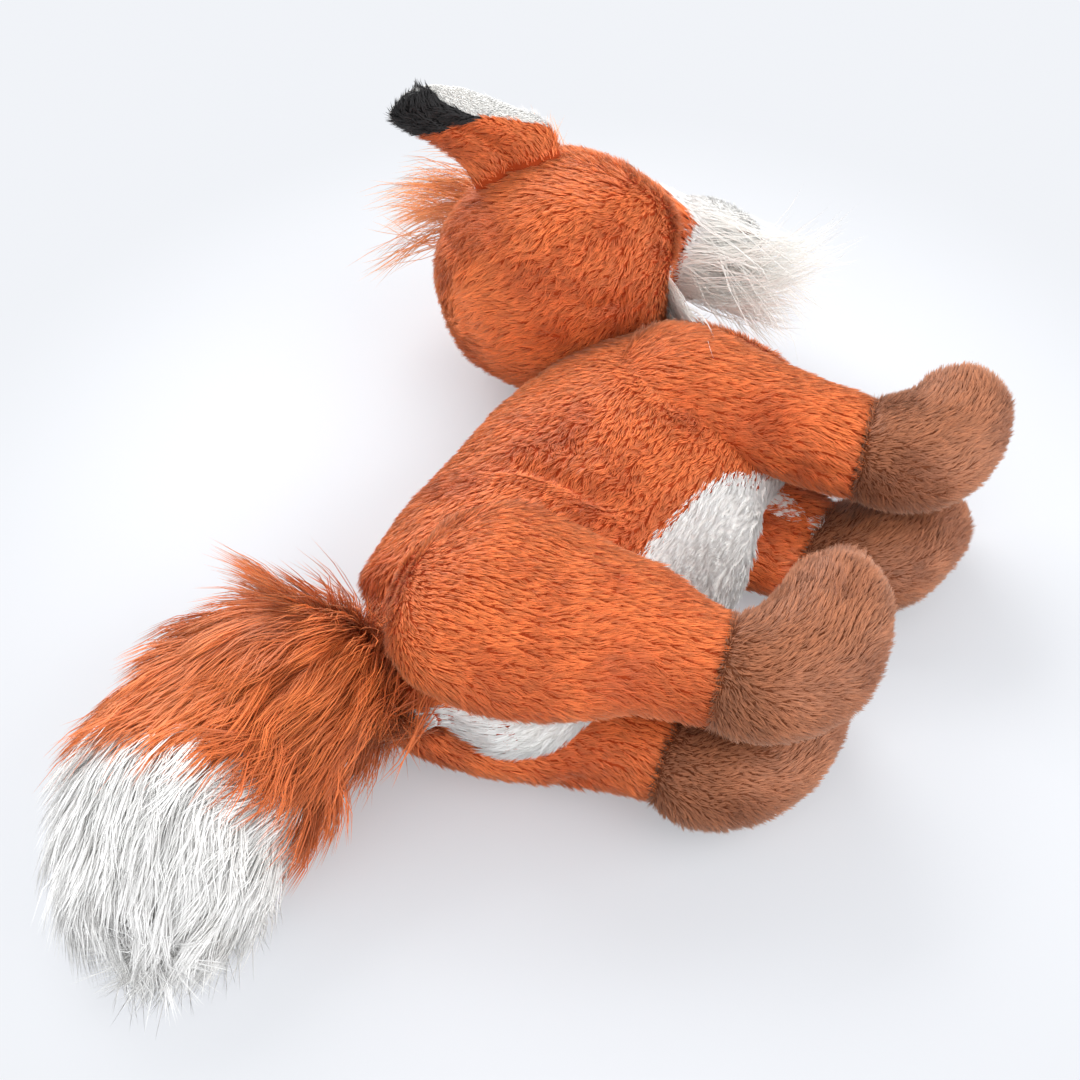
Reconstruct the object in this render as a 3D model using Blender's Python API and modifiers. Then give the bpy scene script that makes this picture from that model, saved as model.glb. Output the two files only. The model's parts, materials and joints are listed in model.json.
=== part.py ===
"""Plush fox lying on its left side: sewn covers over fillings, joined limb by limb.

+X points to the fox's feet, +Y to its head, +Z to its right side and up from the floor.
The origin is on the flat patch where the trunk rests on the floor.
All sizes are metres.
"""
import math

import bmesh
import bpy
from mathutils import Matrix, Vector

# Cloth and clearances
WALL = 0.005
SEAM_GAP = 0.0003
RUN_GAP = 0.0006
FLOOR_CUT = 0.0005
REACH = 0.6

# Trunk
TRUNK_LENGTH = 0.252
TRUNK_DEPTH = 0.148
TRUNK_THICKNESS = 0.093
RUMP_Y = -0.127
POUCH_LENGTH = 0.046
WAIST_LOW_Y = -0.022
WAIST_HIGH_Y = 0.014
BELLY_WIDTH = 0.090
BELLY_DEPTH = 0.100

# Head, measured from its centre
HEAD_RADIUS = 0.062
HEAD_TO_NECK = 0.063
NECK_X = -0.031
NECK_SETBACK = 0.025
NECK_Y = RUMP_Y + TRUNK_LENGTH - NECK_SETBACK
HEAD_NOD = math.radians(33)
NECK_RADIUS = 0.019
NECK_Z = 0.046
NECK_SWING = (math.radians(-15), math.radians(12))
FACE_LENGTH = 0.103
MUZZLE_DEPTH = 0.046
MUZZLE_WIDTH = 0.044
RUFF_LENGTH = 0.036
RUFF_WIDTH = 0.042
TUFT_LENGTH = 0.062
TUFT_WIDTH = 0.040

# Eyes and nose, each a domed button on a shank with a washer inside
EYE_RADIUS = 0.0065
EYE_HEIGHT = 0.0036
NOSE_WIDTH = 0.017
NOSE_DEPTH = 0.0042
NOSE_HEIGHT = 0.012
SHANK_RADIUS = 0.0016
SHANK_LENGTH = 0.0125
WASHER_RADIUS = 0.0065
WASHER_THICKNESS = 0.0016
WASHER_DEPTH = 0.0095

# Ears
EAR_LENGTH = 0.050
EAR_WIDTH = 0.050
EAR_CLOTH = 0.0028
EAR_CUP = 0.009
EAR_ROOT_DROP = 0.004
EAR_STAND_OFF = 0.0025
EAR_TIP_SHARE = 0.62
EAR_BACK_LEAN = 0.040
EAR_FRONT_LEAN = -0.010
EAR_LEFT_FOLD = math.radians(-68)

# Hind legs, from the hip axis
HIP_X = -0.010
HIP_SETBACK = 0.049
HIP_Y = RUMP_Y + HIP_SETBACK
HIP_Z = 0.052
HIP_SEAT = 0.030
HIP_HUB_RADIUS = 0.073
HIND_LEG_LENGTH = 0.146
HIND_LEG_THICKNESS = 0.0540
HIND_ANKLE = 0.094
HIND_ANKLE_TILT = 0.0
HIND_LEFT_TURN = math.radians(-9)
HIND_LEFT_SHIFT = -0.013

# Front legs, from the shoulder axis
SHOULDER_X = 0.005
SHOULDER_SETBACK = 0.028
SHOULDER_Y = NECK_Y - SHOULDER_SETBACK
SHOULDER_Z = 0.047
SHOULDER_SEAT = 0.026
SHOULDER_HUB_RADIUS = 0.073
FRONT_LEG_LENGTH = 0.146
FRONT_LEG_THICKNESS = 0.0485
FRONT_ANKLE = 0.092
FRONT_ANKLE_TILT = math.radians(15)
FRONT_LEFT_TURN = math.radians(-9)
FRONT_LEFT_SHIFT = -0.007
FRONT_LEFT_DROP = -0.004

# Tail, from its root
TAIL_ROOT_X = -0.080
TAIL_ROOT_SETBACK = 0.013
TAIL_ROOT_Y = RUMP_Y + TAIL_ROOT_SETBACK
TAIL_ROOT_Z = 0.0495
TAIL_ROOT_RADIUS = 0.019
TAIL_LENGTH = 0.160
TAIL_WIDTH = 0.118
TAIL_THICKNESS = 0.076
TAIL_SEAM_SHARE = 0.42
TAIL_CORE_SHARE = 0.55

# Rings of each form, from end to end, as shares of the form's sizes:
# place along, offset sideways, half width, height of the middle, half thickness
TRUNK_RING_SHARES = (
    (0.000, -0.223, 0.122, 0.56, 0.13),
    (0.028, -0.209, 0.257, 0.56, 0.26),
    (0.117, -0.155, 0.412, 0.55, 0.36),
    (0.267, -0.128, 0.466, 0.53, 0.42),
    (0.429, -0.088, 0.480, 0.48, 0.49),
    (0.591, -0.034, 0.493, 0.475, 0.50),
    (0.733, 0.020, 0.459, 0.48, 0.47),
    (0.862, 0.108, 0.378, 0.49, 0.43),
    (0.955, 0.155, 0.270, 0.51, 0.36),
    (1.000, 0.162, 0.130, 0.52, 0.18),
)
# place along the trunk, depth and height of the belly panel's middle line, and its width
BELLY_RING_SHARES = (
    (0.93, 0.47, 0.50, 0.40),
    (0.80, 0.60, 0.49, 0.85),
    (0.56, 0.58, 0.49, 1.00),
    (0.33, 0.50, 0.52, 0.95),
    (0.11, 0.26, 0.56, 0.80),
    (-0.05, -0.05, 0.56, 0.70),
    (-0.07, -0.20, 0.56, 0.30),
)
# place along, place sideways, half width, height of the middle, half thickness
HIND_RING_SHARES = (
    (-0.32, -0.03, 0.12, 0.55, 0.25),
    (-0.27, -0.03, 0.25, 0.53, 0.38),
    (-0.11, -0.03, 0.36, 0.51, 0.48),
    (0.13, -0.02, 0.35, 0.51, 0.49),
    (0.37, 0.02, 0.27, 0.51, 0.48),
    (0.54, 0.03, 0.205, 0.50, 0.46),
    (0.66, 0.04, 0.190, 0.50, 0.45),
    (0.77, 0.07, 0.215, 0.50, 0.46),
    (0.85, 0.17, 0.215, 0.50, 0.46),
    (0.88, 0.32, 0.190, 0.51, 0.43),
    (0.87, 0.46, 0.155, 0.52, 0.38),
    (0.86, 0.54, 0.080, 0.53, 0.22),
)
FRONT_RING_SHARES = (
    (-0.22, 0.04, 0.09, 0.54, 0.22),
    (-0.18, 0.04, 0.19, 0.53, 0.36),
    (-0.03, 0.05, 0.250, 0.51, 0.47),
    (0.20, 0.03, 0.225, 0.51, 0.49),
    (0.40, 0.02, 0.205, 0.51, 0.49),
    (0.54, 0.02, 0.195, 0.51, 0.48),
    (0.65, 0.02, 0.198, 0.51, 0.47),
    (0.76, 0.06, 0.220, 0.51, 0.48),
    (0.84, 0.14, 0.218, 0.51, 0.47),
    (0.88, 0.27, 0.183, 0.51, 0.43),
    (0.88, 0.39, 0.145, 0.51, 0.37),
    (0.87, 0.46, 0.070, 0.51, 0.20),
)
TAIL_RING_SHARES = (
    (-0.062, 0.034, 0.07, 0.00, 0.11),
    (-0.038, 0.017, 0.12, 0.00, 0.18),
    (0.012, -0.008, 0.14, 0.00, 0.22),
    (0.065, -0.050, 0.21, -0.01, 0.31),
    (0.138, -0.115, 0.39, -0.08, 0.45),
    (0.294, -0.160, 0.49, -0.16, 0.50),
    (0.494, -0.195, 0.52, -0.18, 0.50),
    (0.738, -0.145, 0.48, -0.24, 0.45),
    (0.925, -0.050, 0.33, -0.32, 0.33),
    (1.000, 0.008, 0.14, -0.39, 0.16),
)
# place along the face, drop to the chin, half height, half width, as shares of the head's radius
HEAD_RING_SHARES = (
    (-0.98, 0.00, 0.22, 0.22),
    (-0.88, 0.00, 0.49, 0.50),
    (-0.60, 0.00, 0.81, 0.82),
    (-0.20, 0.00, 0.99, 1.01),
    (0.26, 0.00, 0.98, 1.03),
    (0.60, 0.03, 0.78, 0.88),
)
# place along the face, drop to the chin, as shares of its length, then shares of depth and width
MUZZLE_RING_SHARES = (
    (0.52, 0.10, 0.80, 0.95),
    (0.67, 0.17, 0.58, 0.66),
    (0.83, 0.19, 0.50, 0.50),
    (0.95, 0.18, 0.38, 0.38),
    (1.00, 0.17, 0.18, 0.19),
)

# the white face's area: drop from the crown's line, place forward, then its three radii
FACE_PLACE_SHARES = (0.55, 0.97)
FACE_RADIUS_SHARES = (0.74, 0.42, 0.82)
# rise to the crown, place forward and place aside, as shares of the head's radius, then facings
EYE_PLACE_SHARES = (0.26, 0.80, 0.46)
EYE_FACING_SHARES = (-0.50, 0.72, 0.48)
NOSE_PLACE_SHARES = (-0.13, 1.575, 0.00)
NOSE_FACING_SHARES = (-0.30, 0.95, 0.00)
# root of the ruff and of the tuft towards the chin and the face, and the way that each grows
RUFF_ROOT_SHARES = (0.62, 0.62)
RUFF_WAY_SHARES = (0.80, 0.45)
TUFT_ROOT_SHARES = (-0.80, 0.00)
TUFT_WAY_SHARES = (-0.90, -0.40)
# place along an ear and half width, as shares of its length and its width
EAR_ROW_SHARES = (
    (0.00, 0.50), (0.18, 0.46), (0.36, 0.41), (0.50, 0.38), (0.62, 0.36), (0.76, 0.33), (0.90, 0.25),
    (1.00, 0.12),
)
# direction of an ear's root from the middle of the head, and of the line it is sewn along
EAR_PLACE_SHARES = (-0.43, -0.13, 0.89)
EAR_LINE_SHARES = (-0.28, -0.92, -0.22)
# place along, half height and half width of a tuft of long pile
HAIR_RING_SHARES = (
    (0.00, 0.30, 0.42),
    (0.15, 0.34, 0.50),
    (0.50, 0.26, 0.42),
    (0.85, 0.14, 0.22),
    (1.00, 0.05, 0.08),
)

# joint, side, height of the seat and radius of the hub for each limb
LIMB_SEATS = (
    ("hip_right", 1, HIP_SEAT, HIP_HUB_RADIUS),
    ("hip_left", -1, HIP_SEAT, HIP_HUB_RADIUS - HIND_LEFT_SHIFT),
    ("shoulder_right", 1, SHOULDER_SEAT, SHOULDER_HUB_RADIUS),
    ("shoulder_left", -1, SHOULDER_SEAT, SHOULDER_HUB_RADIUS - FRONT_LEFT_SHIFT),
)

TRUNK_SEGMENTS = 10
LIMB_SEGMENTS = 7
HOLLOW_SEGMENTS = 7
CORE_SEGMENTS = 5
ROUND_SEGMENTS = 20
HUB_SEGMENTS = 16
SPHERE_RINGS = 10
BUTTON_SEGMENTS = 10
BUTTON_RINGS = 6
EAR_COLUMNS = 4
NECK_SWEEP_STEPS = 3

ORANGE = (0.62, 0.22, 0.075, 1.0)
LONG_ORANGE = (0.50, 0.16, 0.045, 1.0)
WHITE = (0.90, 0.88, 0.83, 1.0)
BROWN = (0.34, 0.17, 0.105, 1.0)
BLACK = (0.012, 0.011, 0.012, 1.0)
FIBRE = (0.88, 0.88, 0.86, 1.0)
LINEN = (0.70, 0.66, 0.56, 1.0)
PLASTIC = (0.010, 0.009, 0.009, 1.0)
WASHER = (0.80, 0.80, 0.78, 1.0)


def clear_scene():
    """Remove every object that the scene opened with."""
    for old in list(bpy.data.objects):
        bpy.data.objects.remove(old, do_unlink=True)


def new_collection(name):
    """Add a collection to the scene."""
    collection = bpy.data.collections.new(name)
    bpy.context.scene.collection.children.link(collection)
    return collection


def plain_material(name, colour, roughness):
    """Make a Principled material for one piece."""
    material = bpy.data.materials.new(name)
    material.use_nodes = True
    shader = material.node_tree.nodes["Principled BSDF"]
    shader.inputs["Base Color"].default_value = colour
    shader.inputs["Roughness"].default_value = roughness
    shader.inputs["Metallic"].default_value = 0
    return material


def add_object(name, bm, parent=None, closed=True):
    """Turn a bmesh into an object in its parent's frame, a closed one with its faces out."""
    if closed:
        bmesh.ops.recalc_face_normals(bm, faces=bm.faces)
    mesh = bpy.data.meshes.new(name)
    bm.to_mesh(mesh)
    bm.free()
    mesh.shade_smooth()
    obj = bpy.data.objects.new(name, mesh)
    obj.parent = parent
    return obj


def add_part(obj, colour, roughness=0.9):
    """Show an object as a piece of the fox."""
    obj.data.materials.append(plain_material(obj.name, colour, roughness))
    bpy.data.collections["plush_fox"].objects.link(obj)
    return obj


def add_cutter(obj):
    """Keep an object as a hidden cutter."""
    obj.hide_render = True
    obj.display_type = "WIRE"
    bpy.data.collections["cutters"].objects.link(obj)
    return obj


def axis_empty(name, location, turn=0):
    """Mark a joint's place, with Z as its axis."""
    empty = bpy.data.objects.new(name, None)
    empty.location = location
    empty.rotation_euler = (0, 0, turn)
    bpy.data.collections["plush_fox"].objects.link(empty)
    return empty


def boolean(obj, cutter, operation="DIFFERENCE"):
    """Add a Boolean of one cutter to an object."""
    modifier = obj.modifiers.new(f"{operation.lower()}_{cutter.name}", "BOOLEAN")
    modifier.operation = operation
    modifier.object = cutter


def soften(obj):
    """Round a coarse cage."""
    modifier = obj.modifiers.new("round", "SUBSURF")
    modifier.levels = 1
    modifier.render_levels = 1


def plan_rings(stations, inset=0, scale=1, draw=None):
    """Give each station of a path in the XY plane its oval, square to the path.

    A station is (centre, half width, half thickness). An inset form is the same path with
    ovals that much smaller and with both ends drawn in, by as much unless draw says more.
    """
    draw = inset if draw is None else draw
    centres = [Vector(station[0]) for station in stations]
    rings = []
    for index, (centre, half_width, half_thickness) in enumerate(stations):
        before = centres[max(index - 1, 0)]
        after = centres[min(index + 1, len(centres) - 1)]
        along = after - before
        along.z = 0
        along.normalize()
        side = Vector((-along.y, along.x, 0))
        middle = Vector(centre)
        if index == 0:
            middle += along * draw
        if index == len(stations) - 1:
            middle -= along * draw
        width = half_width * scale - inset
        thickness = half_thickness * scale - inset
        rings.append((middle, side * width, Vector((0, 0, thickness))))
    return rings


def loft(name, rings, segments, parent=None, soft=True):
    """Close a form through its oval rings, rounded where it is soft.

    A cage shrinks when it is rounded, so its ovals are drawn larger by the share that a
    ring of that many points loses.
    """
    step = math.tau / segments
    grow = 4 / (3 + math.cos(step)) if soft else 1
    bm = bmesh.new()
    loops = []
    for centre, side, up in rings:
        loops.append([
            bm.verts.new(centre + grow * (side * math.cos(step * k) + up * math.sin(step * k)))
            for k in range(segments)
        ])
    for first, second in zip(loops, loops[1:]):
        for k in range(segments):
            following = (k + 1) % segments
            bm.faces.new((first[k], first[following], second[following], second[k]))
    bm.faces.new(loops[0])
    bm.faces.new(loops[-1])
    if not soft:
        bmesh.ops.triangulate(bm, faces=bm.faces, quad_method="FIXED")
    obj = add_object(name, bm, parent)
    if soft:
        soften(obj)
    return obj


def box(name, size, centre, parent=None, turn=0):
    """Make a box."""
    bm = bmesh.new()
    placed = Matrix.Translation(centre) @ Matrix.Rotation(turn, 4, "Z") @ Matrix.Diagonal((*size, 1))
    bmesh.ops.create_cube(bm, size=1, matrix=placed)
    return add_object(name, bm, parent)


def cylinder(name, radius, start, end, parent=None, segments=HUB_SEGMENTS):
    """Make a round bar between two points."""
    start, end = Vector(start), Vector(end)
    along = end - start
    placed = Matrix.Translation((start + end) / 2) @ along.to_track_quat("Z", "Y").to_matrix().to_4x4()
    bm = bmesh.new()
    bmesh.ops.create_cone(
        bm, cap_ends=True, segments=segments, radius1=radius, radius2=radius,
        depth=along.length, matrix=placed,
    )
    return add_object(name, bm, parent)


def ball(name, radii, centre, parent=None, facing=None):
    """Make an ellipsoid whose third radius lies along Z or, for a button, along its facing."""
    placed = Matrix.Translation(centre)
    segments, rings = ROUND_SEGMENTS, SPHERE_RINGS
    if facing:
        placed = placed @ facing.to_track_quat("Z", "Y").to_matrix().to_4x4()
        segments, rings = BUTTON_SEGMENTS, BUTTON_RINGS
    bm = bmesh.new()
    bmesh.ops.create_uvsphere(
        bm, u_segments=segments, v_segments=rings, radius=1,
        matrix=placed @ Matrix.Diagonal((*radii, 1)),
    )
    return add_object(name, bm, parent)


def cut_by_floor(obj):
    """Flatten an object where it rests on the floor."""
    boolean(obj, bpy.data.objects["floor_cutter"])


def trunk_rings(inset=0):
    """Rings of the trunk, from the rump to the neck."""
    stations = [
        (
            (side * TRUNK_DEPTH, RUMP_Y + along * TRUNK_LENGTH, height * TRUNK_THICKNESS - FLOOR_CUT),
            width * TRUNK_DEPTH,
            thickness * TRUNK_THICKNESS,
        )
        for along, side, width, height, thickness in TRUNK_RING_SHARES
    ]
    return plan_rings(stations, inset)


def limb_stations(shares, length, thickness, side):
    """Stations of a leg on one side, from its hub to its toe, in its joint's frame."""
    return [
        (
            (along * length, across * length, side * height * thickness),
            width * length,
            half * thickness,
        )
        for along, across, width, height, half in shares
    ]


def tail_stations():
    """Stations of the tail from its root to its tip, in its joint's frame."""
    return [
        (
            (side * TAIL_WIDTH, -along * TAIL_LENGTH, height * TAIL_THICKNESS),
            width * TAIL_WIDTH,
            thickness * TAIL_THICKNESS,
        )
        for along, side, width, height, thickness in TAIL_RING_SHARES
    ]


def head_rings(inset=0):
    """Rings of the head, from its back to the tip of the muzzle, in the neck's frame."""
    rows = [
        (along * HEAD_RADIUS, drop * HEAD_RADIUS, height * HEAD_RADIUS, width * HEAD_RADIUS)
        for along, drop, height, width in HEAD_RING_SHARES
    ] + [
        (along * FACE_LENGTH, drop * FACE_LENGTH, height * MUZZLE_DEPTH, width * MUZZLE_WIDTH)
        for along, drop, height, width in MUZZLE_RING_SHARES
    ]
    rings = []
    for index, (along, drop, height, width) in enumerate(rows):
        if index == 0:
            along += inset
        if index == len(rows) - 1:
            along -= inset
        centre = Vector((drop - HEAD_TO_NECK, along, 0))
        rings.append((centre, Vector((inset - height, 0, 0)), Vector((0, 0, width - inset))))
    return rings


def build_joints():
    """Place the joint axes."""
    axis_empty("neck_axis", (NECK_X, NECK_Y, HEAD_RADIUS - FLOOR_CUT), -HEAD_NOD)
    axis_empty("hip_right_axis", (HIP_X, HIP_Y, HIP_Z))
    axis_empty("hip_left_axis", (HIP_X + HIND_LEFT_SHIFT, HIP_Y, HIP_Z), HIND_LEFT_TURN)
    axis_empty("shoulder_right_axis", (SHOULDER_X, SHOULDER_Y, SHOULDER_Z))
    shoulder_left = (SHOULDER_X + FRONT_LEFT_SHIFT, SHOULDER_Y + FRONT_LEFT_DROP, SHOULDER_Z)
    axis_empty("shoulder_left_axis", shoulder_left, FRONT_LEFT_TURN)
    axis_empty("tail_axis", (TAIL_ROOT_X, TAIL_ROOT_Y, TAIL_ROOT_Z))


def build_shared_cutters():
    """Make the floor, the swept head and the limb seats that more than one piece is cut by."""
    add_cutter(box("floor_cutter", (REACH * 2, REACH * 2, REACH), (0, 0, -REACH / 2)))
    for index in range(NECK_SWEEP_STEPS):
        swing = NECK_SWING[0] + (NECK_SWING[1] - NECK_SWING[0]) * index / (NECK_SWEEP_STEPS - 1)
        turn = swing - HEAD_NOD
        centre = (
            NECK_X - HEAD_TO_NECK * math.cos(turn),
            NECK_Y - HEAD_TO_NECK * math.sin(turn),
            HEAD_RADIUS - FLOOR_CUT,
        )
        radius = HEAD_RADIUS + RUN_GAP
        add_cutter(ball(f"head_sweep_{index}", (radius, radius, radius), centre))
    for name, radius, height in (("neck", NECK_RADIUS, NECK_Z), ("tail", TAIL_ROOT_RADIUS, TAIL_ROOT_Z)):
        axis = bpy.data.objects[f"{name}_axis"]
        centre = (0, 0, height - axis.location.z)
        add_cutter(ball(f"{name}_root", (radius, radius, radius), centre, axis))
        radius += SEAM_GAP
        add_cutter(ball(f"{name}_socket", (radius, radius, radius), centre, axis))


def seat_cutters(inset):
    """Cylinders that leave a flat round seat for each limb on the flanks, clear of the waist."""
    length = WAIST_HIGH_Y - WAIST_LOW_Y - 2 * inset
    middle = (0, (WAIST_LOW_Y + WAIST_HIGH_Y) / 2, 0)
    waist = add_cutter(box("waist_area", (REACH, length, 2 * REACH), middle))
    seats = []
    for name, side, seat, radius in LIMB_SEATS:
        middle = bpy.data.objects[f"{name}_axis"].location
        start = middle + Vector((0, 0, side * (seat - inset)))
        end = middle + Vector((0, 0, side * REACH))
        cutter = add_cutter(cylinder(f"{name}_seat", radius + inset, start, end))
        boolean(cutter, waist)
        seats.append(cutter)
    return seats


def build_trunk():
    """Build the trunk's cover, belly panel, filling and pellet pouch."""
    outer_seats = seat_cutters(0)
    inner_seats = seat_cutters(WALL)
    inner = add_cutter(loft("trunk_hollow", trunk_rings(WALL), HOLLOW_SEGMENTS, soft=False))
    for seat in inner_seats:
        boolean(inner, seat)

    belly = belly_path_cutter("belly_panel_area", 0)
    belly_gap = belly_path_cutter("belly_panel_gap", RUN_GAP)
    covers = {"trunk_cover": ORANGE, "belly_panel": WHITE}
    for name, colour in covers.items():
        cover = add_part(loft(name, trunk_rings(), TRUNK_SEGMENTS), colour)
        for seat in outer_seats:
            boolean(cover, seat)
        boolean(cover, inner)
        carve_trunk(cover)
        if name == "belly_panel":
            boolean(cover, belly, "INTERSECT")
        else:
            boolean(cover, belly_gap)

    pouch_end = RUMP_Y + POUCH_LENGTH
    behind = add_cutter(box("pouch_area", (REACH, REACH, REACH), (0, pouch_end - REACH / 2, 0)))
    ahead_centre = (0, pouch_end - SEAM_GAP + REACH / 2, 0)
    ahead = add_cutter(box("filling_area", (REACH, REACH, REACH), ahead_centre))
    core_seats = seat_cutters(WALL + SEAM_GAP)
    for name, area, colour in (("trunk_filling", behind, FIBRE), ("pellet_pouch", ahead, LINEN)):
        core = add_part(loft(name, trunk_rings(WALL + SEAM_GAP), HOLLOW_SEGMENTS, soft=False), colour)
        for seat in core_seats:
            boolean(core, seat)
        boolean(core, area)
        carve_trunk(core)


def carve_trunk(piece):
    """Clear the head's sweep and the neck's and tail's round sockets from a piece of the trunk."""
    for index in range(NECK_SWEEP_STEPS):
        boolean(piece, bpy.data.objects[f"head_sweep_{index}"])
    boolean(piece, bpy.data.objects["neck_socket"])
    boolean(piece, bpy.data.objects["tail_socket"])
    cut_by_floor(piece)


def belly_path_cutter(name, grow):
    """Follow the underside from the chest to the rump with a flat tube."""
    depth, length = TRUNK_DEPTH, TRUNK_LENGTH
    stations = [
        (
            (x * depth, RUMP_Y + y * length, z * TRUNK_THICKNESS),
            BELLY_DEPTH / 2,
            width * BELLY_WIDTH / 2,
        )
        for y, x, z, width in BELLY_RING_SHARES
    ]
    return add_cutter(loft(name, plan_rings(stations, -grow), LIMB_SEGMENTS))


def build_leg(name, joint, shares, length, thickness, ankle, tilt):
    """Build the cover, foot and filling of the leg on one joint."""
    side, seat, hub = next(row[1:] for row in LIMB_SEATS if row[0] == joint)
    axis = bpy.data.objects[f"{joint}_axis"]
    stations = limb_stations(shares, length, thickness, side)
    hub_cutter = add_cutter(cylinder(
        f"{name}_hub_cutter", hub + RUN_GAP, (0, 0, -side * REACH), (0, 0, side * (seat + SEAM_GAP)),
        axis,
    ))
    middle = (0, 0, side * (SEAM_GAP - REACH) / 2)
    middle_cutter = add_cutter(box(f"{name}_middle_cutter", (REACH, REACH, REACH), middle, axis))
    hollow = add_cutter(loft(f"{name}_hollow", plan_rings(stations, WALL), CORE_SEGMENTS, axis, False))
    normal = Vector((math.cos(tilt), math.sin(tilt), 0))
    seam = Vector((ankle, 0, 0))
    beyond = seam + normal * REACH / 2
    before = seam + normal * (SEAM_GAP - REACH / 2)
    size = (REACH, REACH, REACH)
    foot_area = add_cutter(box(f"{name}_foot_area", size, beyond, axis, tilt))
    shank_area = add_cutter(box(f"{name}_shank_area", size, before, axis, tilt))

    pieces = (("cover", foot_area, ORANGE), ("foot", shank_area, BROWN))
    for piece, area, colour in pieces:
        cover = add_part(loft(f"{name}_{piece}", plan_rings(stations), LIMB_SEGMENTS, axis), colour)
        boolean(cover, middle_cutter)
        boolean(cover, hollow)
        boolean(cover, hub_cutter)
        boolean(cover, area)
        cut_by_floor(cover)
    core_rings = plan_rings(stations, WALL + SEAM_GAP)
    filling = loft(f"{name}_filling", core_rings, CORE_SEGMENTS, axis, False)
    add_part(filling, FIBRE)
    boolean(filling, middle_cutter)
    boolean(filling, hub_cutter)
    cut_by_floor(filling)


def build_legs():
    """Build all four legs."""
    for side_name in ("right", "left"):
        build_leg(
            f"hind_leg_{side_name}", f"hip_{side_name}", HIND_RING_SHARES, HIND_LEG_LENGTH,
            HIND_LEG_THICKNESS, HIND_ANKLE, HIND_ANKLE_TILT,
        )
        build_leg(
            f"front_leg_{side_name}", f"shoulder_{side_name}", FRONT_RING_SHARES,
            FRONT_LEG_LENGTH, FRONT_LEG_THICKNESS, FRONT_ANKLE, FRONT_ANKLE_TILT,
        )


def build_tail():
    """Build the tail's two covers and its filling."""
    axis = bpy.data.objects["tail_axis"]
    stations = tail_stations()
    core_stations = stations[1:-1]
    inner_rings = plan_rings(core_stations, 0, TAIL_CORE_SHARE, WALL)
    hollow = add_cutter(loft("tail_hollow", inner_rings, CORE_SEGMENTS, axis, False))
    seam = -TAIL_SEAM_SHARE * TAIL_LENGTH
    size = (REACH, REACH, REACH)
    tip_area = add_cutter(box("tail_tip_area", size, (0, seam - REACH / 2, 0), axis))
    base_area = add_cutter(box("tail_base_area", size, (0, seam - SEAM_GAP + REACH / 2, 0), axis))
    for name, area, colour in (("tail_base", tip_area, LONG_ORANGE), ("tail_tip", base_area, WHITE)):
        cover = add_part(loft(name, plan_rings(stations), LIMB_SEGMENTS, axis), colour)
        if name == "tail_base":
            boolean(cover, bpy.data.objects["tail_root"], "UNION")
        boolean(cover, hollow)
        boolean(cover, area)
        cut_by_floor(cover)
    core_rings = plan_rings(core_stations, SEAM_GAP, TAIL_CORE_SHARE, WALL + SEAM_GAP)
    add_part(loft("tail_filling", core_rings, CORE_SEGMENTS, axis, False), FIBRE)


def build_head():
    """Build the head's cover, muzzle and filling, with its ruff and tuft."""
    neck = bpy.data.objects["neck_axis"]
    hollow = add_cutter(loft("head_hollow", head_rings(WALL), HOLLOW_SEGMENTS, neck, False))
    drop, forward = FACE_PLACE_SHARES
    tall, long, wide = FACE_RADIUS_SHARES
    face_centre = (-HEAD_RADIUS * drop, FACE_LENGTH * forward, 0)
    face_radii = (HEAD_RADIUS * tall, FACE_LENGTH * long, HEAD_RADIUS * wide)
    face = add_cutter(ball("face_area", face_radii, face_centre, neck))
    grown = [radius + SEAM_GAP for radius in face_radii]
    face_gap = add_cutter(ball("face_gap", grown, face_centre, neck))
    for name, colour in (("head_cover", ORANGE), ("muzzle_cover", WHITE)):
        cover = add_part(loft(name, head_rings(), TRUNK_SEGMENTS, neck), colour)
        if name == "head_cover":
            boolean(cover, bpy.data.objects["neck_root"], "UNION")
        boolean(cover, hollow)
        if name == "muzzle_cover":
            boolean(cover, face, "INTERSECT")
        else:
            boolean(cover, face_gap)
        cut_by_floor(cover)
    core_rings = head_rings(WALL + SEAM_GAP)
    filling = add_part(loft("head_filling", core_rings, HOLLOW_SEGMENTS, neck, False), FIBRE)
    cut_by_floor(filling)

    head_form = add_cutter(loft("head_clearance", head_rings(-SEAM_GAP), TRUNK_SEGMENTS, neck))
    ruff_stations = hair_stations(RUFF_ROOT_SHARES, RUFF_WAY_SHARES, RUFF_LENGTH, RUFF_WIDTH)
    tuft_stations = hair_stations(TUFT_ROOT_SHARES, TUFT_WAY_SHARES, TUFT_LENGTH, TUFT_WIDTH)
    for name, stations, colour in (
        ("throat_ruff", ruff_stations, WHITE), ("head_tuft", tuft_stations, LONG_ORANGE),
    ):
        tuft = add_part(loft(name, plan_rings(stations), CORE_SEGMENTS, neck), colour)
        boolean(tuft, head_form)
        cut_by_floor(tuft)


def head_point(shares, side=1):
    """Place a point by shares of the head's radius towards the crown, the face and the side."""
    rise, forward, aside = shares
    across = side * aside * HEAD_RADIUS
    return Vector((-rise * HEAD_RADIUS - HEAD_TO_NECK, forward * HEAD_RADIUS, across))


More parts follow.
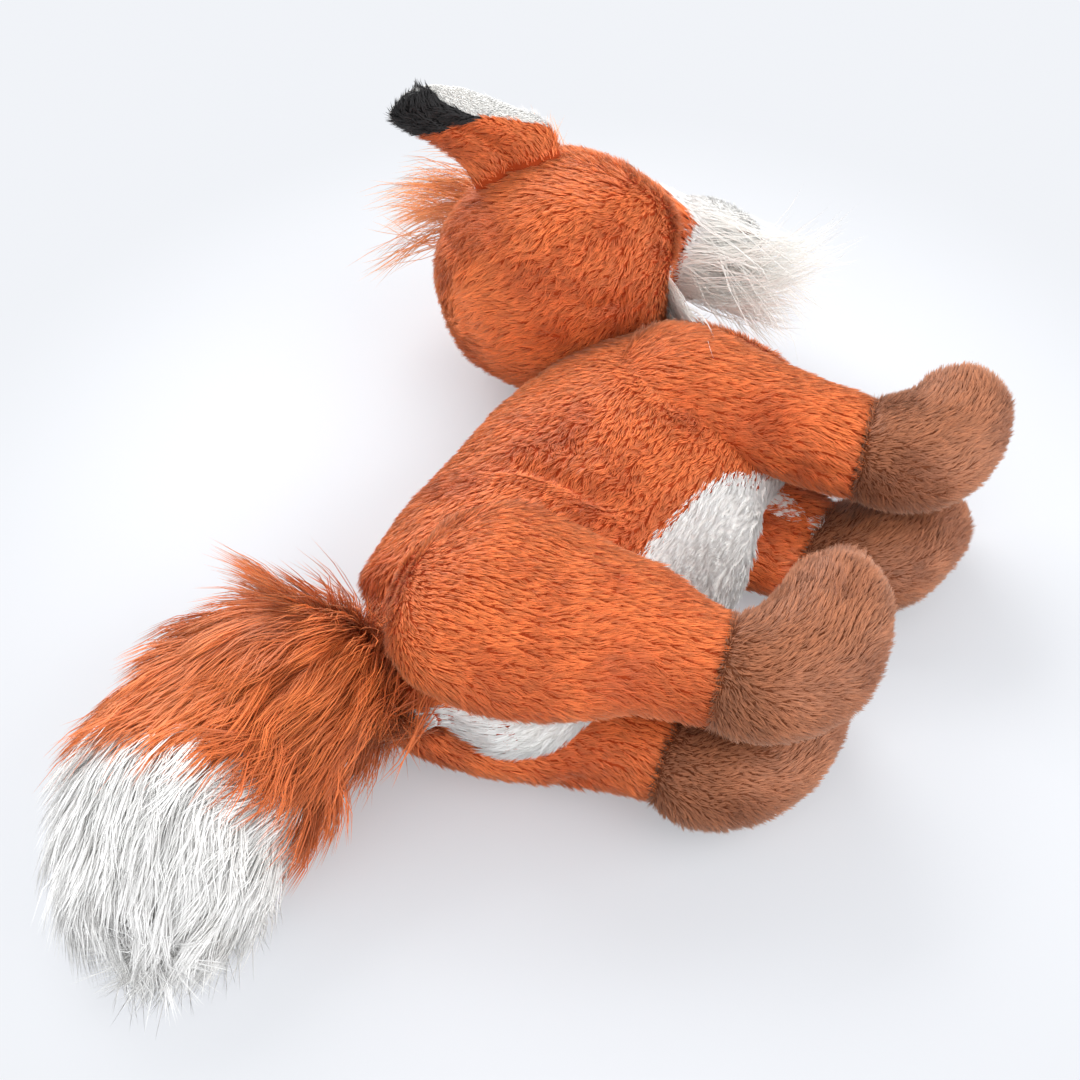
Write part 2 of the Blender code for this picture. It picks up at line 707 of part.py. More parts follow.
def build_button(name, radii, place, facing, covers):
    """Build a domed button and its washer, and cut their room into the covers and filling."""
    neck = bpy.data.objects["neck_axis"]
    facing = facing.normalized()
    grown = [radius + SEAM_GAP for radius in radii]
    shank_end = place - facing * SHANK_LENGTH
    sides = BUTTON_SEGMENTS
    button = add_part(ball(name, radii, place, neck, facing), PLASTIC, 0.15)
    shank = add_cutter(cylinder(f"{name}_shank", SHANK_RADIUS, place, shank_end, neck, sides))
    boolean(button, shank, "UNION")

    room = add_cutter(ball(f"{name}_room", grown, place, neck, facing))
    hole_end = shank_end - facing * SEAM_GAP
    hole_radius = SHANK_RADIUS + SEAM_GAP
    hole = add_cutter(cylinder(f"{name}_hole", hole_radius, place, hole_end, neck, sides))
    washer_top = place - facing * WASHER_DEPTH
    washer_end = washer_top - facing * WASHER_THICKNESS
    washer = cylinder(f"{name}_washer", WASHER_RADIUS, washer_top, washer_end, neck, sides)
    add_part(washer, WASHER, 0.4)
    boolean(washer, hole)
    pocket = add_cutter(cylinder(
        f"{name}_pocket", WASHER_RADIUS + SEAM_GAP, washer_top + facing * SEAM_GAP,
        washer_end - facing * SEAM_GAP, neck, sides,
    ))
    for cover in covers:
        for cutter in (pocket, hole, room):
            boolean(bpy.data.objects[cover], cutter)


def build_buttons():
    """Build the two eyes and the nose."""
    eye = (EYE_RADIUS, EYE_RADIUS, EYE_HEIGHT)
    covers = ("head_cover", "muzzle_cover", "head_filling")
    for side_name, side in (("right", 1), ("left", -1)):
        facing = Vector(EYE_FACING_SHARES) * Vector((1, 1, side))
        build_button(f"eye_{side_name}", eye, head_point(EYE_PLACE_SHARES, side), facing, covers)
    nose = (NOSE_WIDTH / 2, NOSE_HEIGHT / 2, NOSE_DEPTH)
    build_button("nose", nose, head_point(NOSE_PLACE_SHARES), Vector(NOSE_FACING_SHARES), covers)


def ear_axes(side):
    """Directions of an ear: out of the head, across its thickness and along its root."""
    mirror = Vector((1, 1, side))
    radial = (Vector(EAR_PLACE_SHARES) * mirror).normalized()
    root = (Vector(EAR_LINE_SHARES) * mirror).normalized()
    out = (radial - root * radial.dot(root)).normalized()
    return radial, out, root


def leaf(name, first_share, last_share, side, offset, parent):
    """Make one cloth layer of an ear between two shares of its length.

    The layer is a curved sheet: x runs out of the head, z along the root and y through the
    cloth. It narrows to the tip, leans along the root and cups towards its lining.
    """
    lean = EAR_BACK_LEAN if side > 0 else EAR_FRONT_LEAN
    places = [row[0] for row in EAR_ROW_SHARES if first_share < row[0] < last_share]
    places = [first_share] + places + [last_share]
    bm = bmesh.new()
    rows = []
    for place in places:
        half = EAR_WIDTH * row_width(place)
        row = []
        for column in range(EAR_COLUMNS + 1):
            across = 2 * column / EAR_COLUMNS - 1
            drop = EAR_ROOT_DROP * across * across * (1 - place)
            cup = EAR_CUP * across * across * math.sin(math.pi * place)
            x = EAR_LENGTH * place - drop
            y = cup * side + offset * SEAM_GAP / 2
            row.append(bm.verts.new((x, y, across * half + lean * place)))
        rows.append(row)
    for first, second in zip(rows, rows[1:]):
        for column in range(EAR_COLUMNS):
            bm.faces.new((first[column], first[column + 1], second[column + 1], second[column]))
    sheet = add_object(name, bm, parent, closed=False)
    thicken = sheet.modifiers.new("cloth", "SOLIDIFY")
    thicken.thickness = EAR_CLOTH
    thicken.offset = offset
    return sheet


def row_width(place):
    """Half width of an ear at a place, as a share of its width."""
    for (low, low_width), (high, high_width) in zip(EAR_ROW_SHARES, EAR_ROW_SHARES[1:]):
        if place <= high:
            return low_width + (high_width - low_width) * (place - low) / (high - low)
    return EAR_ROW_SHARES[-1][1]


def build_ears():
    """Build each ear's back, dark tip and lining on its own root axis."""
    neck = bpy.data.objects["neck_axis"]
    for side_name, side in (("right", 1), ("left", -1)):
        radial, out, root = ear_axes(side)
        place = Vector((-HEAD_TO_NECK, 0, 0)) + radial * (HEAD_RADIUS + EAR_STAND_OFF)
        axis = axis_empty(f"ear_{side_name}_axis", place)
        axis.parent = neck
        turned = Matrix((out, root.cross(out), root)).transposed()
        fold = Matrix.Rotation(EAR_LEFT_FOLD if side < 0 else 0, 3, "Z")
        axis.rotation_euler = (turned @ fold).to_euler()
        tip_start = EAR_TIP_SHARE + 2 * RUN_GAP / EAR_LENGTH
        layers = (
            ("back", 0, EAR_TIP_SHARE, -1, ORANGE),
            ("tip", tip_start, 1, -1, BLACK),
            ("lining", 0, 1, 1, WHITE),
        )
        for layer, first_share, last_share, face, colour in layers:
            name = f"ear_{side_name}_{layer}"
            sheet = add_part(leaf(name, first_share, last_share, side, face * side, axis), colour)
            cut_by_floor(sheet)


def hair_stations(root_shares, way_shares, length, width):
    """Taper a tuft of long pile from a wide root on the head to a narrow tip."""
    along = Vector((*way_shares, 0)).normalized()
    drop, forward = root_shares
    start = Vector((drop * HEAD_RADIUS - HEAD_TO_NECK, forward * HEAD_RADIUS, 0))
    return [
        (start + along * length * share, wide * width, thick * width)
        for share, wide, thick in HAIR_RING_SHARES
    ]


def main():
    """Build the fox."""
    clear_scene()
    new_collection("plush_fox")
    new_collection("cutters")
    build_joints()
    build_shared_cutters()
    build_trunk()
    build_legs()
    build_tail()
    build_head()
    build_buttons()
    build_ears()


if __name__ == "__main__":
    main()
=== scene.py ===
"""Plush fox lying on its left side: sewn skins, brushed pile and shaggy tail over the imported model.

+X points to the feet, +Y to the head and +Z up from the floor. All lengths are metres.
"""
import json
import math
from itertools import product

import bpy
import numpy as np
from bpy.props import FloatProperty, FloatVectorProperty, PointerProperty
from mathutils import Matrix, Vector


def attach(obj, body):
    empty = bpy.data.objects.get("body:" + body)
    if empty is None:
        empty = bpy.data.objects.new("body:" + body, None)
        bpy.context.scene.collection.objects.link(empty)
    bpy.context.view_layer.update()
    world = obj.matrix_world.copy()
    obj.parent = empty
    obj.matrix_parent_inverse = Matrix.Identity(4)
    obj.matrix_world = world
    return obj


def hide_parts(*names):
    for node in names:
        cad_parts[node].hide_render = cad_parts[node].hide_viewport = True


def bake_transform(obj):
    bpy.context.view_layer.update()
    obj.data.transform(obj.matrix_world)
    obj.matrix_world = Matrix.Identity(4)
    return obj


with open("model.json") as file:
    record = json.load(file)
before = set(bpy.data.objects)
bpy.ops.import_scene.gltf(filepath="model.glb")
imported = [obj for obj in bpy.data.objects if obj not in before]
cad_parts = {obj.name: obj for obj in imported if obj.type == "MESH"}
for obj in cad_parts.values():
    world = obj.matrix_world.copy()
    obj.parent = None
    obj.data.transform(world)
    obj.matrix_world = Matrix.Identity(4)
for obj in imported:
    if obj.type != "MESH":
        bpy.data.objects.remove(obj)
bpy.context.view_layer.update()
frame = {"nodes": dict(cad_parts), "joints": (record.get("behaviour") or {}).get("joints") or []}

bl_info = {
    "name": "Plush fox",
    "version": (1, 0, 0),
    "blender": (4, 5, 0),
    "location": "3D Viewport > Sidebar > Fox",
    "description": "Builds a plush fox: skins, pile, tail, ears, face and stage",
    "category": "Object",
}

JOINTS = {joint["child"]: joint for joint in frame["joints"]}
FLOOR_LIFT = 0.0004
MM = 0.001
ROOT_DEPTH = 0.0004
CLOTH_RELIEF = 0.0004
CAP_ROWS = 7

# Forms: rings close to the solids', as shares of each form's sizes
TRUNK_LENGTH = 0.252
TRUNK_DEPTH = 0.148
TRUNK_THICKNESS = 0.093
RUMP_Y = -0.127
HEAD_RADIUS = 0.062
HEAD_TO_NECK = 0.063
HEAD_NOD = math.radians(33)
FACE_LENGTH = 0.103
MUZZLE_DEPTH = 0.046
MUZZLE_WIDTH = 0.044
HIND_LENGTH = 0.146
HIND_THICKNESS = 0.0535
FRONT_LENGTH = 0.146
FRONT_THICKNESS = 0.0485
TAIL_LENGTH = 0.160
TAIL_WIDTH = 0.118
TAIL_THICKNESS = 0.076
SEAM_REACH = 0.0035
SEAM_PINCH = 0.0018
FILLING_INSET = 0.0085
FILLING_LEAST_SHARE = 0.3
FILLING_END_SHARE = 0.35
POUCH_SHARE = 0.26
SKIN_DEPTH = 0.0024
LUMP_DEPTH = 0.0008
LUMP_SIZE = 0.022

# place along, offset sideways, half width, height of the middle, half thickness
TRUNK_RING_SHARES = (
    (0.000, -0.223, 0.122, 0.56, 0.13), (0.028, -0.209, 0.257, 0.56, 0.26),
    (0.117, -0.155, 0.412, 0.54, 0.40), (0.267, -0.128, 0.466, 0.51, 0.48),
    (0.429, -0.088, 0.480, 0.49, 0.49), (0.591, -0.034, 0.493, 0.485, 0.49),
    (0.733, 0.020, 0.459, 0.48, 0.48), (0.862, 0.108, 0.378, 0.49, 0.44), (0.955, 0.155, 0.270, 0.51, 0.36),
    (1.000, 0.162, 0.130, 0.52, 0.18),
)
HIND_RING_SHARES = (
    (-0.32, -0.03, 0.12, 0.44, 0.22), (-0.27, -0.03, 0.25, 0.46, 0.37), (-0.11, -0.03, 0.36, 0.51, 0.48),
    (0.13, -0.02, 0.35, 0.51, 0.49), (0.37, 0.02, 0.27, 0.51, 0.48), (0.54, 0.03, 0.205, 0.50, 0.46),
    (0.66, 0.04, 0.190, 0.50, 0.45), (0.77, 0.07, 0.215, 0.50, 0.46), (0.85, 0.17, 0.215, 0.50, 0.46),
    (0.88, 0.32, 0.190, 0.51, 0.43), (0.87, 0.46, 0.155, 0.52, 0.38), (0.86, 0.54, 0.080, 0.53, 0.22),
)
FRONT_RING_SHARES = (
    (-0.22, 0.04, 0.09, 0.40, 0.20), (-0.18, 0.04, 0.19, 0.42, 0.35), (-0.03, 0.05, 0.250, 0.48, 0.47),
    (0.20, 0.03, 0.225, 0.51, 0.49), (0.40, 0.02, 0.205, 0.51, 0.49), (0.54, 0.02, 0.195, 0.51, 0.48),
    (0.65, 0.02, 0.198, 0.51, 0.47), (0.76, 0.06, 0.220, 0.51, 0.48), (0.84, 0.14, 0.218, 0.51, 0.47),
    (0.88, 0.27, 0.183, 0.51, 0.43), (0.88, 0.39, 0.145, 0.51, 0.37), (0.87, 0.46, 0.070, 0.51, 0.20),
)
TAIL_RING_SHARES = (
    (-0.062, 0.070, 0.10, 0.00, 0.13), (-0.038, 0.065, 0.19, 0.00, 0.23), (0.012, 0.055, 0.26, 0.00, 0.31),
    (0.065, 0.020, 0.32, -0.02, 0.35), (0.138, -0.055, 0.37, -0.08, 0.39),
    (0.294, -0.145, 0.39, -0.16, 0.42), (0.494, -0.195, 0.40, -0.20, 0.42),
    (0.690, -0.150, 0.36, -0.25, 0.36), (0.810, -0.095, 0.26, -0.32, 0.27),
    (0.860, -0.070, 0.13, -0.35, 0.14),
)
# place along the face, drop to the chin, half height, half width, in head radii
HEAD_RING_SHARES = (
    (-1.02, 0.00, 0.23, 0.22), (-0.92, 0.00, 0.51, 0.50), (-0.63, 0.00, 0.84, 0.81),
    (-0.21, 0.01, 1.00, 0.98), (0.25, 0.01, 1.01, 0.99), (0.58, 0.02, 0.83, 0.85), (0.78, 0.05, 0.59, 0.61),
    (0.93, 0.13, 0.475, 0.49),
)
# place and drop in face lengths, then shares of the muzzle's depth and width
MUZZLE_RING_SHARES = (
    (0.64, 0.17, 0.60, 0.64), (0.75, 0.21, 0.56, 0.60), (0.87, 0.23, 0.48, 0.50), (0.96, 0.225, 0.35, 0.35),
    (1.00, 0.21, 0.18, 0.18),
)
# leg, rings, length, thickness, side, turn of the whole leg, where the ankle seam lies
LEGS = (
    ("hind_leg_right", HIND_RING_SHARES, HIND_LENGTH, HIND_THICKNESS, 1, 0, 0.094),
    ("front_leg_right", FRONT_RING_SHARES, FRONT_LENGTH, FRONT_THICKNESS, 1, 0, 0.092),
    ("hind_leg_left", HIND_RING_SHARES, HIND_LENGTH, HIND_THICKNESS, -1, math.radians(-9), 0.094),
    ("front_leg_left", FRONT_RING_SHARES, FRONT_LENGTH, FRONT_THICKNESS, -1, math.radians(-12), 0.092),
)
# rings along and points around the skin of trunk, head, legs and tail, then of what fills them
SKIN_GRIDS = ((150, 150), (130, 140), (130, 90), (90, 80))
CORE_GRIDS = ((50, 40), (40, 40), (44, 32), (36, 28))
TAIL_SEAM_SHARE = 0.42
# middle of the rump's long pile with its reaches, and the way that it is combed
RUMP_SPOT = (-0.066, -0.122, 0.050, 0.034, 0.022, 0.034)
RUMP_WAY = (-0.30, -0.95, -0.10)
FACE_EDGE = 0.0650
FACE_EDGE_UNDER = 0.0320
# middle of each full cheek in the neck's frame, with its reach and swell
CHEEK_SPOT = (-0.036, 0.036, 0.036)
CHEEK_REACH = 0.024
CHEEK_SWELL = 0.0125
# place along the body and the belly panel's half angle about it, in degrees
BELLY_EDGE = (
    (-0.145, 30), (-0.134, 42), (-0.100, 50), (-0.020, 53), (0.020, 53), (0.036, 47), (0.048, 34),
    (0.060, 24), (0.085, 15), (0.100, 2),
)
# the belly panel's rows in the trunk's grid, its columns, and the row that its middle is taken from
BELLY_ROWS = (26, 130)
BELLY_COLUMNS = 49
BELLY_MIDDLE_ROW = 75

# Creases: the points of each line, its depth and its width; one of negative depth is a bulge
TRUNK_CREASES = (
    (((-0.050, -0.015, 0.086), (-0.022, -0.013, 0.090), (0.000, -0.016, 0.090), (0.024, -0.014, 0.085)),
     0.0030, 0.0055),
    (((-0.034, 0.078, 0.083), (-0.019, 0.072, 0.086), (0.007, 0.056, 0.089), (0.033, 0.046, 0.084)),
     0.0022, 0.0080),
    (((-0.070, -0.100, 0.060), (-0.057, -0.115, 0.064), (-0.037, -0.126, 0.064), (-0.023, -0.134, 0.058)),
     0.0022, 0.0045),
    (((0.046, -0.040, 0.024), (0.052, -0.006, 0.022), (0.056, 0.030, 0.024)), -0.0160, 0.0210),
)
HEAD_CREASES = (
    (((-0.083, 0.114, 0.118), (-0.074, 0.105, 0.114), (-0.066, 0.093, 0.104)), 0.0016, 0.0030),
    (((-0.050, 0.088, 0.092), (-0.0432, 0.0943, 0.089), (-0.0305, 0.1105, 0.086)), 0.0022, 0.0040),
)
LEG_CREASES = {
    "hind_leg_right": (
        (((0.029, -0.055, 0.102), (0.032, -0.072, 0.105), (0.037, -0.084, 0.105)), 0.0018, 0.0026),
        (((0.049, -0.083, 0.104), (0.047, -0.097, 0.101), (0.044, -0.104, 0.094)), 0.0014, 0.0024),
    ),
    "front_leg_right": (
        (((0.060, 0.045, 0.074), (0.079, 0.047, 0.077), (0.101, 0.049, 0.081)), 0.0024, 0.0030),
        (((0.036, 0.066, 0.094), (0.049, 0.055, 0.090), (0.058, 0.047, 0.080)), 0.0020, 0.0075),
    ),
    "hind_leg_left": (
        (((0.026, -0.120, 0.014), (0.039, -0.119, 0.025), (0.062, -0.114, 0.032)), 0.0024, 0.0034),
    ),
    "front_leg_left": (
        (((0.020, 0.030, 0.024), (0.055, 0.020, 0.022), (0.090, 0.006, 0.024)), -0.0250, 0.0220),
    ),
}

# Ears
EAR_LENGTH = 0.050
EAR_WIDTH = 0.050
EAR_CUP = 0.009
EAR_ROOT_DROP = 0.004
EAR_TIP_SHARE = 0.54
EAR_LEANS = {1: 1.0, -1: -0.25}
EAR_PLACE_SHARES = (-0.43, -0.13, 0.89)
EAR_LINE_SHARES = (-0.28, -0.92, -0.22)
EAR_LEFT_FOLD = math.radians(-68)
# share of the length, half width, and how far the middle lies back, as shares of the ear's width
EAR_ROW_SHARES = (
    (0.00, 0.46, 0.02), (0.15, 0.48, 0.03), (0.32, 0.48, 0.10), (0.48, 0.46, 0.24), (0.62, 0.45, 0.40),
    (0.76, 0.43, 0.55), (0.90, 0.37, 0.66), (1.00, 0.24, 0.70),
)
EAR_SWELL = 0.0062
# share of an ear's length, and the angle by which the lining comes round its front edge
EAR_SEAM = ((0.0, -0.3), (0.15, -0.1), (0.35, 0.7), (0.6, 1.2), (0.85, 1.2), (1.0, 0.9))
EAR_STAND_OFF = 0.0025
# layer, start and end along the ear, face, hue and length of its pile
EAR_LAYERS = (
    ("back", -0.16, EAR_TIP_SHARE, -1, "orange", 0.85), ("tip", EAR_TIP_SHARE, 1, -1, "black", 0.85),
    ("lining", -0.16, 1, 1, "white", 1.15),
)

# rise to the crown, place forward and place aside, in head radii, then facings
EYE_PLACE_SHARES = (0.26, 0.80, 0.46)
EYE_FACING_SHARES = (-0.50, 0.72, 0.48)
NOSE_PLACE_SHARES = (-0.13, 1.575, 0.00)
NOSE_FACING_SHARES = (-0.30, 0.95, 0.00)
# radius and height of each button, from its crown to the end of its shank
EYE_PROFILE = (
    (0, 0.0046), (0.0018, 0.0044), (0.0036, 0.0036), (0.0052, 0.0021), (0.0061, 0.0004), (0.0062, -0.0012),
    (0.0050, -0.0024), (0.0016, -0.0028), (0.0016, -0.0080), (0.0014, -0.0124), (0, -0.0125),
)
NOSE_PROFILE = (
    (0, 0.0046), (0.0020, 0.0044), (0.0040, 0.0036), (0.0054, 0.0022), (0.0062, 0.0002), (0.0062, -0.0016),
    (0.0048, -0.0030), (0.0016, -0.0034), (0.0016, -0.0080), (0.0014, -0.0124), (0, -0.0125),
)
# button, place, facing, side, profile, stretch across and how far its lower half is drawn in
BUTTONS = (
    ("eye_right", EYE_PLACE_SHARES, EYE_FACING_SHARES, 1, EYE_PROFILE, 1.0, 0),
    ("eye_left", EYE_PLACE_SHARES, EYE_FACING_SHARES, -1, EYE_PROFILE, 1.0, 0),
    ("nose", NOSE_PLACE_SHARES, NOSE_FACING_SHARES, 1, NOSE_PROFILE, 1.42, 0.35),
)
# lines of the mouth in the neck's frame: below the nose, then out to both sides
MOUTH_THREAD = 0.0007
MOUTH_LINES = (
    ((-0.0470, 0.1040, 0), (-0.0410, 0.1050, 0), (-0.0350, 0.1030, 0), (-0.0300, 0.1000, 0)),
    ((-0.0300, 0.1000, 0), (-0.0270, 0.0970, 0.005), (-0.0250, 0.0910, 0.0110), (-0.0260, 0.0830, 0.0160)),
    ((-0.0300, 0.1000, 0), (-0.0270, 0.0970, -0.005), (-0.0250, 0.0910, -0.0110), (-0.0260, 0.0830, -0.0160)),
)

# piece, middle in the neck's frame and radius, way that it is combed, material, slot, pile and seed
TUFTS = (
    ("head_tuft", (-0.118, -0.012, 0.008), 0.017, (-0.75, -0.66, 0.05), "tuft_orange_pile", "long_orange_pile",
     (0.046, 0.00036, 0.62, 0.011, 50, 20, 36, 0.9, 4, 0.16), 101),
    ("crown_wisps", (-0.112, 0.030, 0.006), 0.009, (-0.86, 0.48, 0.14), "tuft_orange_pile", "long_orange_pile",
     (0.040, 0.00034, 0.35, 0.008, 66, 58, 12, 0.8, 4, 0.10), 103),
    ("throat_ruff", (-0.008, 0.036, 0.012), 0.032, (0.93, 0.36, 0.04), "long_white_pile", "long_white_pile",
     (0.060, 0.00036, 1.4, 0.012, 26, 4, 34, 0.5, 4, 0.16), 102),
)
# body, then middle and radius of each place where the pile is ruffled and painted with more shade
RUFFLES = (
    ("head", -0.036, 0.103, 0.080, 0.020), ("head", -0.056, 0.078, 0.080, 0.014),
    ("head", -0.050, 0.124, 0.108, 0.010), ("trunk", 0.006, -0.022, 0.088, 0.013),
    ("trunk", -0.024, 0.010, 0.090, 0.012), ("trunk", 0.025, 0.050, 0.086, 0.013),
    ("front_leg_right", 0.050, 0.055, 0.088, 0.020), ("front_leg_right", 0.076, 0.046, 0.074, 0.014),
    ("hind_leg_right", 0.054, -0.107, 0.090, 0.022), ("hind_leg_right", 0.031, -0.066, 0.104, 0.008),
    ("hind_leg_left", 0.036, -0.116, 0.026, 0.026), ("front_leg_left", 0.060, 0.040, 0.040, 0.026),
)
# pile material: the colours of its root and tip, and how far its strands differ; the darker root colour is painted
# shade deep in the pile
PILE_COLOURS = {
    "orange_pile": ("orange_root_shade", "orange", 0.30),
    "white_pile": ("white_root_shade", "white", 0.06),
    "brown_pile": ("brown_root_shade", "brown", 0.30),
    "black_pile": ("black_root_shade", "black", 0.20),
    "tail_orange_pile": ("tail_root_shade", "tail_orange", 0.35),
    "tail_white_pile": ("white_root_shade", "white", 0.06),
    "tuft_orange_pile": ("tail_orange", "tuft", 0.20),
    "long_white_pile": ("white_root_shade", "white", 0.20),
}
# material: its two tones, the size of its grain, its roughness, and the strength and size of its relief
CLOTHS = {
    "pouch_linen": ((0.56, 0.52, 0.42, 1), (0.74, 0.70, 0.60, 1), 700, 0.95, 0.8, 900),
    "fibre_filling": ((0.80, 0.80, 0.77, 1), (0.90, 0.90, 0.88, 1), 300, 0.95, 0.6, 500),
    "washer_plastic": ((0.78, 0.78, 0.76, 1), (0.86, 0.86, 0.84, 1), 500, 0.45, 0.1, 800),
}

# Camera, from the photograph
VIEW_AZIMUTH = math.radians(25)
VIEW_ELEVATION = math.radians(52)
VIEW_ANGLE = math.radians(36)
VIEW_DISTANCE = 0.764
VIEW_TARGET = (-0.020, -0.026, 0.055)
FLOOR_REACH = 6.0
WORLD_COLOUR = (0.93, 0.96, 1.0, 1)
WORLD_STRENGTH = 0.62
BACKDROP = (0.88, 0.90, 0.94, 1)
# lamp, place, size and power
LAMPS = (
    ("key", (-1.05, 0.8, 0.9), 1.2, 32.0), ("fill", (1.25, 0.15, 0.7), 1.4, 20.0),
    ("front", (-0.3, -1.3, 0.7), 1.4, 8.0),
)


def size_property(name, description, default, unit="LENGTH"):
    """Make one size setting."""
    return FloatProperty(name=name, description=description, default=default, unit=unit)


class FoxPile(bpy.types.PropertyGroup):
    """Sizes of the pile."""

    short_length: size_property("Short pile", "Length of the short pile", 0.0060)
    short_width: size_property("Short width", "Width of a lock of short pile", 0.00059)
    short_density: size_property("Short density", "Locks of short pile to a square millimetre", 1.68, "NONE")
    foot_length: size_property("Foot pile", "Length of the pile on the feet", 0.0044)
    clump: size_property("Clump", "Size of a clump of short pile", 0.0030)
    tail_length: size_property("Tail pile", "Length of the tail's shaggy pile", 0.037)
    tail_width: size_property("Tail width", "Width of a lock of shaggy pile", 0.0005)


def colour_property(name, default):
    """Make one colour setting."""
    return FloatVectorProperty(
        name=name, description=f"Colour of the {name.lower()}", subtype="COLOR", size=3,
        min=0, max=1, default=default,
    )


class FoxColours(bpy.types.PropertyGroup):
    """Colours of the pile, the trim and the stage."""

    # Each root colour is painted shade deep in the pile, where the strands shade each other; the backing cloth is
    # painted in it as well
    orange: colour_property("Orange pile", (0.92, 0.225, 0.055))
    orange_root_shade: colour_property("Painted shade at the orange pile's root", (0.46, 0.060, 0.010))
    tail_orange: colour_property("Orange of the tail", (0.74, 0.185, 0.040))
    tail_root_shade: colour_property("Painted shade at the root of the tail's orange", (0.42, 0.070, 0.012))
    white: colour_property("White pile", (0.985, 0.975, 0.955))
    white_root_shade: colour_property("Painted shade at the white pile's root", (0.96, 0.94, 0.90))
    brown: colour_property("Brown of the feet", (0.45, 0.165, 0.072))
    brown_root_shade: colour_property("Painted shade at the brown pile's root", (0.20, 0.058, 0.022))
    black: colour_property("Black of the ear tips", (0.022, 0.020, 0.021))
    black_root_shade: colour_property("Painted shade at the black pile's root", (0.008, 0.007, 0.007))
    tuft: colour_property("Wisps of the crown", (0.98, 0.42, 0.150))
    mouth: colour_property("Mouth thread", (0.16, 0.055, 0.035))
    button: colour_property("Buttons", (0.008, 0.007, 0.007))
    floor: colour_property("Floor", (0.68, 0.69, 0.715))


# Numbers

def hashed(cells, seed):
    """Three numbers from -1 to 1 for each lattice cell: its indices mixed by odd multipliers."""
    mixed = cells[..., 0] * 73856093 ^ cells[..., 1] * 19349663 ^ cells[..., 2] * 83492791
    mixed = (mixed ^ (seed * 40503 + 977)) & 0xFFFFFFFF
    numbers = []
    for _ in range(3):
        mixed = ((mixed ^ (mixed >> 15)) * 2246822519) & 0xFFFFFFFF
        mixed = ((mixed ^ (mixed >> 13)) * 3266489917) & 0xFFFFFFFF
        numbers.append((mixed & 0xFFFF) / 32767.5 - 1)
    return np.stack(numbers, axis=-1)


def noise(points, size, seed=0):
    """Smooth noise from -1 to 1: hashed lattice corners joined by smoothstep weights."""
    scaled = points / size
    cell = np.floor(scaled).astype(np.int64)
    share = scaled - cell
    share = share * share * (3 - 2 * share)
    total = np.zeros(points.shape[:-1])
    for corner in product((0, 1), repeat=3):
        corner = np.array(corner)
        weight = np.prod(np.where(corner, share, 1 - share), axis=-1)
        total += weight * hashed(cell + corner, seed)[..., 0]
    return total


def unit(vectors):
    """Vectors scaled to length one."""
    return vectors / np.maximum(np.linalg.norm(vectors, axis=-1, keepdims=True), 1e-12)


def smooth(values, low, high):
    """Smoothstep: 0 below low and 1 above high."""
    share = np.clip((values - low) / (high - low), 0, 1)
    return share * share * (3 - 2 * share)


def curve_through(rows, places):
    """Catmull-Rom curve through rows of numbers, read at places from 0 to 1."""
    rows = np.asarray(rows, float)
    last = len(rows) - 1
    place = np.clip(np.asarray(places, float), 0, 1) * last
    index = np.minimum(place.astype(int), last - 1)
    share = (place - index)[:, None]
    rows = np.vstack([2 * rows[0] - rows[1], rows, 2 * rows[-1] - rows[-2]])
    a, b, c, d = (rows[index + step] for step in range(4))
    return 0.5 * (
        2 * b + (c - a) * share + (2 * a - 5 * b + 4 * c - d) * share ** 2
        + (3 * b - a - 3 * c + d) * share ** 3
    )


# Surfaces

class Surface:
    """A grid of points with its outward normals and its directions along and around.

    A wrapped surface is a tube: its columns close on themselves, and its first and last rows
    are single points. Centres, sides and half sizes of its rings are kept to tell what lies
    inside it.
    """

    def __init__(self, points, wrap=True, flip=False, rings=None):
        self.points = points
        self.wrap = wrap
        self.rings = rings
        self.flip = flip
        along = np.gradient(points, axis=0)
        if wrap:
            around = (np.roll(points, -1, axis=1) - np.roll(points, 1, axis=1)) / 2
        else:
            around = np.gradient(points, axis=1)
        normals = np.cross(along, around)
        if wrap:
            middle = points.mean(axis=1, keepdims=True)
            inside_out = np.sum(normals * (points - middle)) < 0
            self.flip = inside_out
        if self.flip:
            normals = -normals
        if wrap:
            start, end = points[0, 0] - points[2].mean(axis=0), points[-1, 0] - points[-3].mean(axis=0)
            normals[0], normals[-1] = start, end
            around[0], around[-1] = around[1], around[-2]
        self.normals = unit(normals)
        self.along = unit(along)
        self.around = unit(around)

    def moved(self, amount):
        """The same grid with each point moved along its normal."""
        amount = np.asarray(amount, float)
        if amount.ndim:
            amount = amount[..., None]
        return Surface(self.points + self.normals * amount, self.wrap, self.flip, self.rings)

    def rows(self, start, end):
        """Part of a tube between two rows, shut at each cut end and pinched there, with the rows added."""
        points = self.points[start:end + 1].copy()
        caps = []
        for cut, row, away in ((start > 0, 0, 1), (end < len(self.points) - 1, -1, -1)):
            caps.append([])
            if not cut:
                continue
            ring = points[row]
            middle = ring.mean(axis=0)
            reach = np.linalg.norm(points.mean(axis=1) - middle, axis=1)
            pinch = SEAM_PINCH * np.exp(-((reach / SEAM_REACH) ** 2))
            inward = unit(points.mean(axis=1)[:, None] - points)
            points = points + inward * pinch[:, None, None]
            ring = points[row]
            caps[-1] = [middle + (ring - middle) * share for share in (0, 0.35, 0.7)]
        top = [np.array(caps[0])] if caps[0] else []
        low = [np.array(caps[1][::-1])] if caps[1] else []
        whole = Surface(np.concatenate(top + [points] + low), True, False, self.rings)
        return whole, len(caps[0]), len(caps[1])


